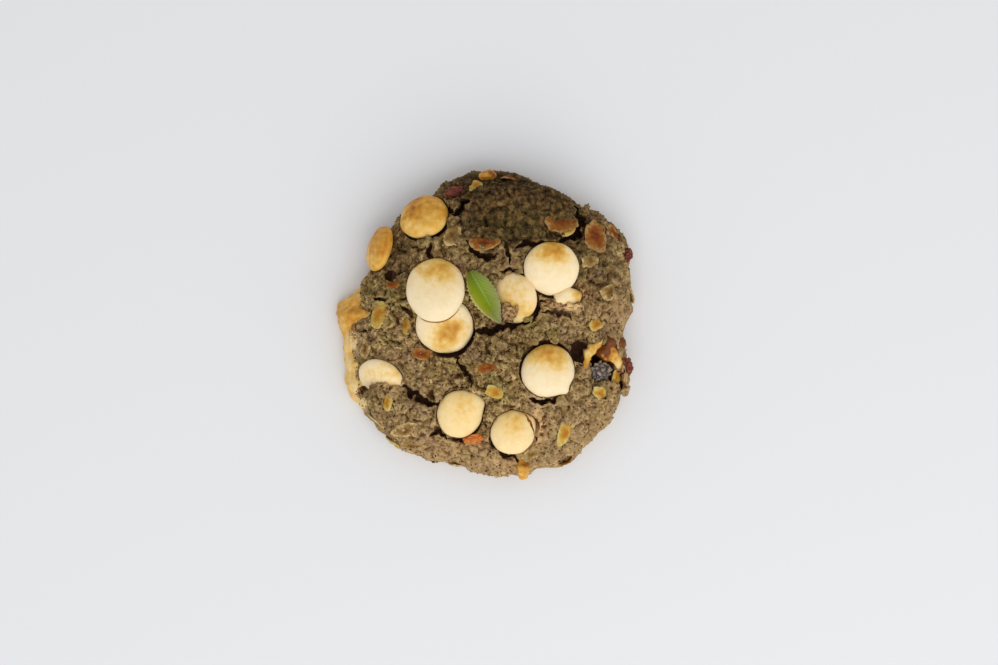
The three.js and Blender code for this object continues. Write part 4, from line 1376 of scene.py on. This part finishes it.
def crumb_tree(material):
    """Spreads small uneven crumbs over the crust."""
    tree = bpy.data.node_groups.new("crumbs on the crust", "GeometryNodeTree")
    face = tree.interface
    face.new_socket("Geometry", in_out="INPUT", socket_type="NodeSocketGeometry")
    for name in ("Distance", "Density", "Size"):
        face.new_socket(name, in_out="INPUT", socket_type="NodeSocketFloat")
    face.new_socket("Seed", in_out="INPUT", socket_type="NodeSocketInt")
    face.new_socket("Geometry", in_out="OUTPUT", socket_type="NodeSocketGeometry")
    given = node(tree, "NodeGroupInput").outputs
    share = node(
        tree, "GeometryNodeInputNamedAttribute", data_type="FLOAT", inputs={0: "crumbs"}
    ).outputs[0]
    seats = node(
        tree,
        "GeometryNodeDistributePointsOnFaces",
        distribute_method="POISSON",
        inputs={
            "Mesh": given["Geometry"],
            "Distance Min": given["Distance"],
            "Density Max": given["Density"],
            "Density Factor": share,
            "Seed": given["Seed"],
        },
    )
    crumb = node(tree, "GeometryNodeMeshIcoSphere", inputs={"Radius": given["Size"], "Subdivisions": 1})
    spin = random_vector(tree, (0, 0, 0), (6.28, 6.28, 6.28), 3)
    form = random_vector(tree, *CRUMB_SHAPE, 4)
    stood = node(
        tree,
        "GeometryNodeInstanceOnPoints",
        inputs={
            "Points": seats.outputs["Points"],
            "Instance": crumb.outputs["Mesh"],
            "Rotation": spin,
            "Scale": form,
        },
    )
    tint = node(tree, "FunctionNodeRandomValue", data_type="FLOAT", inputs={"Seed": 5})
    tinted = node(
        tree,
        "GeometryNodeStoreNamedAttribute",
        data_type="FLOAT",
        domain="INSTANCE",
        inputs={"Geometry": stood.outputs["Instances"], "Name": "tint", "Value": tint.outputs["Value"]},
    )
    real = node(tree, "GeometryNodeRealizeInstances", inputs={"Geometry": tinted.outputs["Geometry"]})
    place = node(tree, "GeometryNodeInputPosition")
    size, height = CRUMB_ROUGH
    rough = node(
        tree, "ShaderNodeTexNoise", inputs={"Vector": place.outputs[0], "Scale": 1 / (size * MM)}
    )
    centred = node(
        tree,
        "ShaderNodeVectorMath",
        operation="SUBTRACT",
        inputs={0: rough.outputs["Color"], 1: (0.5, 0.5, 0.5)},
    )
    scaled = node(
        tree,
        "ShaderNodeVectorMath",
        operation="SCALE",
        inputs={0: centred.outputs[0], "Scale": height * MM},
    )
    moved = node(
        tree,
        "GeometryNodeSetPosition",
        inputs={"Geometry": real.outputs["Geometry"], "Offset": scaled.outputs[0]},
    )
    done = node(
        tree,
        "GeometryNodeSetMaterial",
        inputs={"Geometry": moved.outputs["Geometry"], "Material": material},
    )
    out = node(tree, "NodeGroupOutput")
    tree.links.new(done.outputs["Geometry"], out.inputs["Geometry"])
    return tree


def crumb_piece(dough, material):
    """The crumbs alone, over a copy of the finished dough."""
    piece = add_object("crumbs", dough.data.copy())
    scatter = piece.modifiers.new("crumbs", "NODES")
    scatter.node_group = crumb_tree(material)
    given = {
        "Distance": CRUMB_DISTANCE * MM,
        "Density": CRUMB_DENSITY,
        "Size": CRUMB_SIZE * MM,
        "Seed": CRUMB_SEED,
    }
    for socket in scatter.node_group.interface.items_tree:
        if socket.in_out == "INPUT" and socket.name in given:
            scatter[socket.identifier] = given[socket.name]
    apply_modifiers(piece)
    return piece


# ---- materials ----
def rgb(red, green, blue):
    """A colour as seen on a screen, from 0 to 255, as the renderer's linear one."""
    shares = (value / 255 for value in (red, green, blue))
    return (*(s / 12.92 if s <= 0.04045 else ((s + 0.055) / 1.055) ** 2.4 for s in shares), 1.0)


def node(tree, kind, inputs=None, **settings):
    """Adds a node, with what is linked to its inputs or set on them."""
    made = tree.nodes.new(kind)
    for key, value in settings.items():
        setattr(made, key, value)
    for key, value in (inputs or {}).items():
        if isinstance(value, bpy.types.NodeSocket):
            tree.links.new(value, made.inputs[key])
        else:
            made.inputs[key].default_value = value
    return made


def place_on(tree):
    return node(tree, "ShaderNodeTexCoord").outputs["Object"]


def grain(tree, size, detail=3.0, rough=0.55, shift=0.0):
    """Noise with lumps of a size in millimetres, from 0 to 1."""
    moved = node(
        tree, "ShaderNodeVectorMath", operation="ADD", inputs={0: place_on(tree), 1: (shift, shift, shift)}
    ).outputs[0]
    inputs = {"Vector": moved, "Scale": 1 / (size * MM), "Detail": detail, "Roughness": rough}
    return node(tree, "ShaderNodeTexNoise", inputs=inputs).outputs["Fac"]


def share_of(tree, name):
    """What is stored on the mesh under a name."""
    return node(tree, "ShaderNodeAttribute", attribute_name=name).outputs["Fac"]


def part_of(tree, name, amount):
    return sums(tree, "MULTIPLY", share_of(tree, name), amount)


def spread(tree, value, low, high, to_low=0.0, to_high=1.0):
    """Takes a value between two ends to a value between two others."""
    inputs = {"Value": value, "From Min": low, "From Max": high, "To Min": to_low, "To Max": to_high}
    return node(tree, "ShaderNodeMapRange", clamp=True, inputs=inputs).outputs[0]


def sums(tree, operation, first, second):
    return node(tree, "ShaderNodeMath", operation=operation, inputs={0: first, 1: second}).outputs[0]


def ramp(tree, value, stops):
    made = node(tree, "ShaderNodeValToRGB", inputs={0: value})
    steps = made.color_ramp.elements
    while len(steps) < len(stops):
        steps.new(0.5)
    for step, (at, colour) in zip(steps, stops):
        step.position = at
        step.color = colour
    return made.outputs["Color"]


def mixed(tree, share, first, second, blend="MIX"):
    inputs = {0: share, 6: first, 7: second}
    return node(tree, "ShaderNodeMix", data_type="RGBA", blend_type=blend, inputs=inputs).outputs[2]


def tinged(tree, share, tone, colour):
    """A tone that is multiplied by a colour where the share is high."""
    return mixed(tree, share, tone, mixed(tree, 1.0, tone, colour, "MULTIPLY"))


def bump(tree, height, strength, distance):
    inputs = {"Height": height, "Strength": strength, "Distance": distance * MM}
    return node(tree, "ShaderNodeBump", inputs=inputs).outputs[0]


def finish_of(name, colour_of, roughness, specular, bumps=(0.5, 0.3, 0.1), soft=0.0):
    """A material: its colour from a function of its node tree, with a fine bump over it."""
    material = bpy.data.materials.new(name)
    material.use_nodes = True
    tree = material.node_tree
    surface = tree.nodes["Principled BSDF"]
    tree.links.new(colour_of(tree), surface.inputs["Base Color"])
    surface.inputs["Roughness"].default_value = roughness
    surface.inputs["Specular IOR Level"].default_value = specular
    size, strength, distance = bumps
    tree.links.new(bump(tree, grain(tree, size, 4), strength, distance), surface.inputs["Normal"])
    if soft:
        surface.inputs["Subsurface Weight"].default_value = soft
        surface.inputs["Subsurface Radius"].default_value = (1.0, 0.6, 0.3)
        surface.inputs["Subsurface Scale"].default_value = 1.2 * MM
    return material


def dough_colour(tree):
    tone = ramp(
        tree,
        grain(tree, 2.2, 8, 0.8),
        (
            (0.38, rgb(60, 38, 12)),
            (0.46, rgb(122, 92, 48)),
            (0.54, rgb(172, 140, 84)),
            (0.62, rgb(236, 206, 148)),
        ),
    )
    purple = spread(tree, grain(tree, 5.0, 3, 0.6, 0.31), 0.5, 0.64, 0.0, 0.62)
    tone = mixed(tree, purple, tone, rgb(132, 100, 80))
    green = spread(tree, grain(tree, 4.4, 3, 0.6, 0.77), 0.52, 0.66, 0.0, 0.55)
    tone = mixed(tree, green, tone, rgb(134, 120, 54))
    cells = node(
        tree, "ShaderNodeTexVoronoi", inputs={"Vector": place_on(tree), "Scale": 1 / (1.05 * MM)}
    )
    pick = node(tree, "ShaderNodeSeparateColor", inputs={0: cells.outputs["Color"]}).outputs[0]
    near = spread(tree, cells.outputs["Distance"], 0.25, 0.5, 0.8, 0.0)
    light = sums(tree, "MULTIPLY", near, spread(tree, pick, 0.78, 0.84, 0.0, 0.8))
    dark = sums(tree, "MULTIPLY", near, spread(tree, pick, 0.12, 0.06, 0.0, 0.85))
    browned_and_shaded = share_of(tree, "browned_and_shaded")
    light = sums(tree, "MULTIPLY", light, spread(tree, browned_and_shaded, 0.0, 0.6, 1.0, 0.2))
    tone = mixed(tree, light, tone, rgb(204, 180, 132))
    tone = mixed(tree, dark, tone, rgb(64, 42, 22))
    # Browned crust and painted shade alike: a dark olive brown on the back slope and in the pockets.
    dark_crust_and_shade = ramp(
        tree,
        grain(tree, 1.6, 5, 0.76),
        ((0.4, rgb(20, 8, 0)), (0.5, rgb(60, 39, 14)), (0.6, rgb(120, 88, 46))),
    )
    tone = mixed(tree, spread(tree, browned_and_shaded, 0.0, 1.0, 0.0, 0.92), tone, dark_crust_and_shade)
    paled = share_of(tree, "paled")
    pale = ramp(tree, paled, ((0.66, rgb(186, 152, 110)), (1.0, rgb(255, 224, 158))))
    tone = mixed(tree, spread(tree, paled, 0.0, 1.0, 0.0, 0.9), tone, pale)
    tone = mixed(tree, part_of(tree, "greened", 0.6), tone, rgb(112, 106, 44))
    rusty = ramp(tree, grain(tree, 1.6, 5, 0.7), ((0.38, rgb(170, 112, 64)), (0.62, rgb(252, 206, 146))))
    tone = mixed(tree, part_of(tree, "toasted", 0.85), tone, rusty)
    baked = ramp(tree, grain(tree, 2.0, 6, 0.7), ((0.3, rgb(96, 64, 32)), (0.7, rgb(156, 118, 72))))
    tone = mixed(tree, part_of(tree, "base", 0.8), tone, baked)
    # Painted shade: the crust is darkened in its hollows.
    hollow_shade = spread(tree, share_of(tree, "hollow"), 0.02, 0.28)
    tone = tinged(tree, hollow_shade, tone, rgb(132, 98, 70))
    # Painted highlight: the crust is lightened where it stands out, less so in the browned zones.
    ridge_highlight = spread(tree, share_of(tree, "hollow"), -0.04, -0.3, 0.0, 0.42)
    ridge_highlight = sums(tree, "MULTIPLY", ridge_highlight, spread(tree, browned_and_shaded, 0, 1, 1, 0.25))
    tone = mixed(tree, ridge_highlight, tone, rgb(202, 174, 124))
    # Painted shade: dough that lies well below the crust, in the cracks and pockets, is darkened almost to
    # black.
    sunk = spread(tree, share_of(tree, "depth"), 0.9, 2.6, 0.0, 0.92)
    return mixed(tree, sunk, tone, rgb(54, 28, 18))


def crumb_colour(tree):
    stops = (
        (0.0, rgb(62, 42, 20)),
        (0.25, rgb(112, 86, 48)),
        (0.5, rgb(150, 122, 76)),
        (0.7, rgb(192, 164, 114)),
        (0.85, rgb(134, 122, 52)),
        (1.0, rgb(134, 98, 76)),
    )
    tone = ramp(tree, share_of(tree, "tint"), stops)
    # The crumbs darken with the crust where it is browned and painted with shade.
    return mixed(tree, spread(tree, share_of(tree, "browned_and_shaded"), 0.0, 1.0, 0.0, 0.85), tone, rgb(64, 48, 24))


def chocolate_colour(tree):
    mottle = spread(tree, grain(tree, 1.4, 4, 0.65), 0.3, 0.7, -0.1, 0.12)
    # The ramp from cream to brown is partly toasting and partly painted shade.
    toast = sums(tree, "ADD", share_of(tree, "toast"), mottle)
    tone = ramp(
        tree,
        toast,
        (
            (0.0, rgb(255, 232, 190)),
            (0.2, rgb(250, 220, 162)),
            (0.4, rgb(236, 193, 103)),
            (0.6, rgb(217, 160, 60)),
            (0.8, rgb(194, 128, 36)),
            (1.0, rgb(114, 62, 16)),
        ),
    )
    tone = tinged(tree, part_of(tree, "yellow", 0.55), tone, rgb(250, 232, 160))
    # Painted shade: the chocolate is darkened in its hollows.
    hollow_shade = spread(tree, share_of(tree, "hollow"), 0.02, 0.3)
    return tinged(tree, hollow_shade, tone, rgb(214, 178, 128))


def leaf_colour(tree):
    across = ramp(
        tree,
        spread(tree, share_of(tree, "side"), -1.0, 1.0),
        (
            (0.0, rgb(212, 202, 132)),
            (0.1, rgb(160, 160, 46)),
            (0.32, rgb(136, 150, 10)),
            (0.52, rgb(120, 146, 6)),
            (0.66, rgb(140, 156, 50)),
            (1.0, rgb(154, 156, 98)),
        ),
    )
    # Painted shade: the leaf is darkened towards the end where its length starts, the end at the back of
    # the cookie.
    ends = ramp(
        tree,
        share_of(tree, "along"),
        (
            (0.0, rgb(160, 164, 110)),
            (0.3, rgb(222, 228, 190)),
            (0.55, rgb(255, 255, 255)),
            (1.0, rgb(250, 232, 255)),
        ),
    )
    tone = mixed(tree, 1.0, across, ends, "MULTIPLY")
    tone = mixed(tree, spread(tree, grain(tree, 2.4, 3), 0.5, 0.7, 0.0, 0.4), tone, rgb(108, 114, 28))
    tip = spread(tree, share_of(tree, "along"), 0.7, 0.95, 0.0, 0.55)
    tone = mixed(tree, tip, tone, rgb(158, 152, 116))
    veined = spread(tree, share_of(tree, "side"), -0.3, 0.3, 0.12, 0.6)
    return mixed(tree, sums(tree, "MULTIPLY", share_of(tree, "vein"), veined), tone, rgb(190, 198, 130))


def flake_colour(kind):
    """Colours from the middle of a flake to its rim, mottled and a little different on each flake."""
    stops = [(place, rgb(*tone)) for place, tone in zip(TONE_PLACES, FLAKE_TONES[kind])]

    def colour(tree):
        mottle = spread(tree, grain(tree, 1.2, 5, 0.7), 0.3, 0.7, -0.42, 0.36)
        reach = sums(tree, "ADD", share_of(tree, "reach"), mottle)
        tone = ramp(tree, reach, stops)
        other = spread(tree, share_of(tree, "tint"), 0.0, 1.0, 0.0, 0.4)
        return tinged(tree, other, tone, rgb(200, 176, 138))

    return colour


def berry_colour(kind):
    """Colours from the hollows of a berry to its raised parts, a little mottled: painted shade in the
    hollows and a painted highlight on the raised parts, round the berry's own colour.
    """
    stops = [(place, rgb(*tone)) for place, tone in zip(BERRY_TONE_PLACES, BERRY_SHADED_TONES[kind])]

    def colour(tree):
        mottle = spread(tree, grain(tree, 1.2, 4, 0.6), 0.3, 0.7, -0.12, 0.12)
        hollow = sums(tree, "ADD", share_of(tree, "hollow"), mottle)
        return ramp(tree, spread(tree, hollow, 0.3, -0.3), stops)

    return colour


def dress(piece, material, slot, *nodes):
    """Gives a piece its material, hides the solid that it stands in for and hangs the piece on the root;
    the slot is not used.
    """
    piece.data.materials.clear()
    piece.data.materials.append(material)
    if nodes:
        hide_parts(*nodes)
    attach(piece, "root")


# ---- the cookie ----
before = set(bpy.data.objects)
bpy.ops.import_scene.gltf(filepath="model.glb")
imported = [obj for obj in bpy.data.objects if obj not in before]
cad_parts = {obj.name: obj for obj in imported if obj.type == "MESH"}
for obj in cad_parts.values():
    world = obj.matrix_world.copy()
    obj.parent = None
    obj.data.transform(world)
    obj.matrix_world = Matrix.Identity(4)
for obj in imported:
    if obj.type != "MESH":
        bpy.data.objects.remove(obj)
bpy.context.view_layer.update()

drops = [*DROPS, WALL_DROP[0]]
sockets = [drop_socket(name) for name in drops]
upper_socket = sockets[drops.index("drop_pair_upper")]
sockets += [drop_socket(name, gap) for name, gap in GAPS.items()]
sockets += [berry_socket(name) for name in BERRIES]
dough = dough_piece(sockets)
skin = BVHTree.FromObject(dough, bpy.context.evaluated_depsgraph_get())
large_flakes = flake_seats(skin)
open_flakes = [flake[:6] for flake in large_flakes if flake[0] != "pale" and flake[5] > 0]
plugs = [flake_plug(order, *flake) for order, flake in enumerate(open_flakes)]
carve(dough, plugs)
remove(plugs)
colour_dough(dough)

chocolate = finish_of(
    "white chocolate", chocolate_colour, roughness=0.5, specular=0.3, bumps=(0.8, 0.25, 0.08), soft=0.12
)
hole = lump_form("edge_hole", 0, POCKET_RAGS, *EDGE_HOLE)
for name in drops:
    piece = shape_drop(name, upper_socket, hole)
    colour_chocolate(piece, name)
    slot = "toasted_chocolate" if name in TOASTED_DROPS else "white_chocolate"
    dress(piece, chocolate, slot, name)
remove(sockets)

rim = slot_form("pocket_rim_chocolate", len(CRACKS), *POCKET_RIM, RIM_ROWS, SLIT_SWAY)
soften(rim, *RIM_SOFTENING)
colour_chocolate(rim, "pocket_rim")
dress(rim, chocolate, "toasted_chocolate")

for name in ("melted_edge", "drip_front", "drip_back"):
    piece = melted_piece(name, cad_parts[name])
    if name == "melted_edge":
        carve(piece, [hole])
        remove([hole])
    colour_chocolate(piece, name)
    dress(piece, chocolate, "toasted_chocolate", name)

dough_finish = finish_of(
    "baked matcha dough", dough_colour, roughness=0.85, specular=0.15, bumps=(0.45, 0.6, 0.25)
)
dress(dough, dough_finish, "dough", "dough")
crumb_finish = finish_of("crumbs", crumb_colour, roughness=0.85, specular=0.25, bumps=(0.3, 0.4, 0.1))
dress(crumb_piece(dough, crumb_finish), crumb_finish, "dough")

for kind, piece in flake_pieces(large_flakes + oat_bit_seats(skin)).items():
    flake_finish = finish_of(
        f"{kind} oat", flake_colour(kind), roughness=0.75, specular=0.2, bumps=(0.5, 0.5, 0.15)
    )
    dress(piece, flake_finish, "dough")

leaf_finish = finish_of(
    "leaf", leaf_colour, roughness=0.6, specular=0.12, bumps=(0.6, 0.3, 0.08), soft=0.05
)
dress(leaf_piece(), leaf_finish, "leaf", "leaf")

berry_finishes = {}
for kind in BERRY_SHADED_TONES:
    berry_finishes[kind] = finish_of(kind, berry_colour(kind), roughness=0.55, specular=0.3)
for name in BERRIES:
    kind = BERRY_KINDS.get(name, "red berry")
    slot = "dark_berry" if kind == "dark berry" else "red_berry"
    dress(berry_piece(name), berry_finishes[kind], slot, name)

# ---- floor, light and camera ----
bpy.ops.mesh.primitive_plane_add(size=FLOOR_SIZE * MM, location=(0, 0, -FLOOR_GAP * MM))
floor = bpy.context.object
floor.name = "floor"
floor_finish = bpy.data.materials.new("pale floor")
floor_finish.use_nodes = True
floor_surface = floor_finish.node_tree.nodes["Principled BSDF"]
floor_surface.inputs["Base Color"].default_value = rgb(238, 238, 238)
floor_surface.inputs["Roughness"].default_value = 0.8
floor_surface.inputs["Specular IOR Level"].default_value = 0.1
floor.data.materials.append(floor_finish)

light = bpy.data.lights.new("soft window light", "AREA")
light.shape = "RECTANGLE"
light.size, light.size_y = (length * MM for length in LIGHT_SIZE)
light.energy = LIGHT_POWER
lamp = add_object("soft window light", light)
lamp.location = Vector(LIGHT_PLACE) * MM
lamp.rotation_mode = "QUATERNION"
lamp.rotation_quaternion = (Vector(LIGHT_AIM) - Vector(LIGHT_PLACE)).to_track_quat("-Z", "Y")

world = bpy.data.worlds.new("pale room")
world.use_nodes = True
room = world.node_tree.nodes["Background"]
room.inputs["Color"].default_value = rgb(244, 246, 250)
room.inputs["Strength"].default_value = ROOM_STRENGTH
bpy.context.scene.world = world
bpy.context.scene.view_settings.view_transform = "Standard"

view = bpy.data.cameras.new("view from above")
view.lens = CAMERA_LENS
view.sensor_width = 36
view.clip_start, view.clip_end = 0.01, 10
camera = add_object("camera", view)
camera.location = (CAMERA_PLACE + FOOTPRINT_SHIFT) * MM
bpy.context.scene.camera = camera
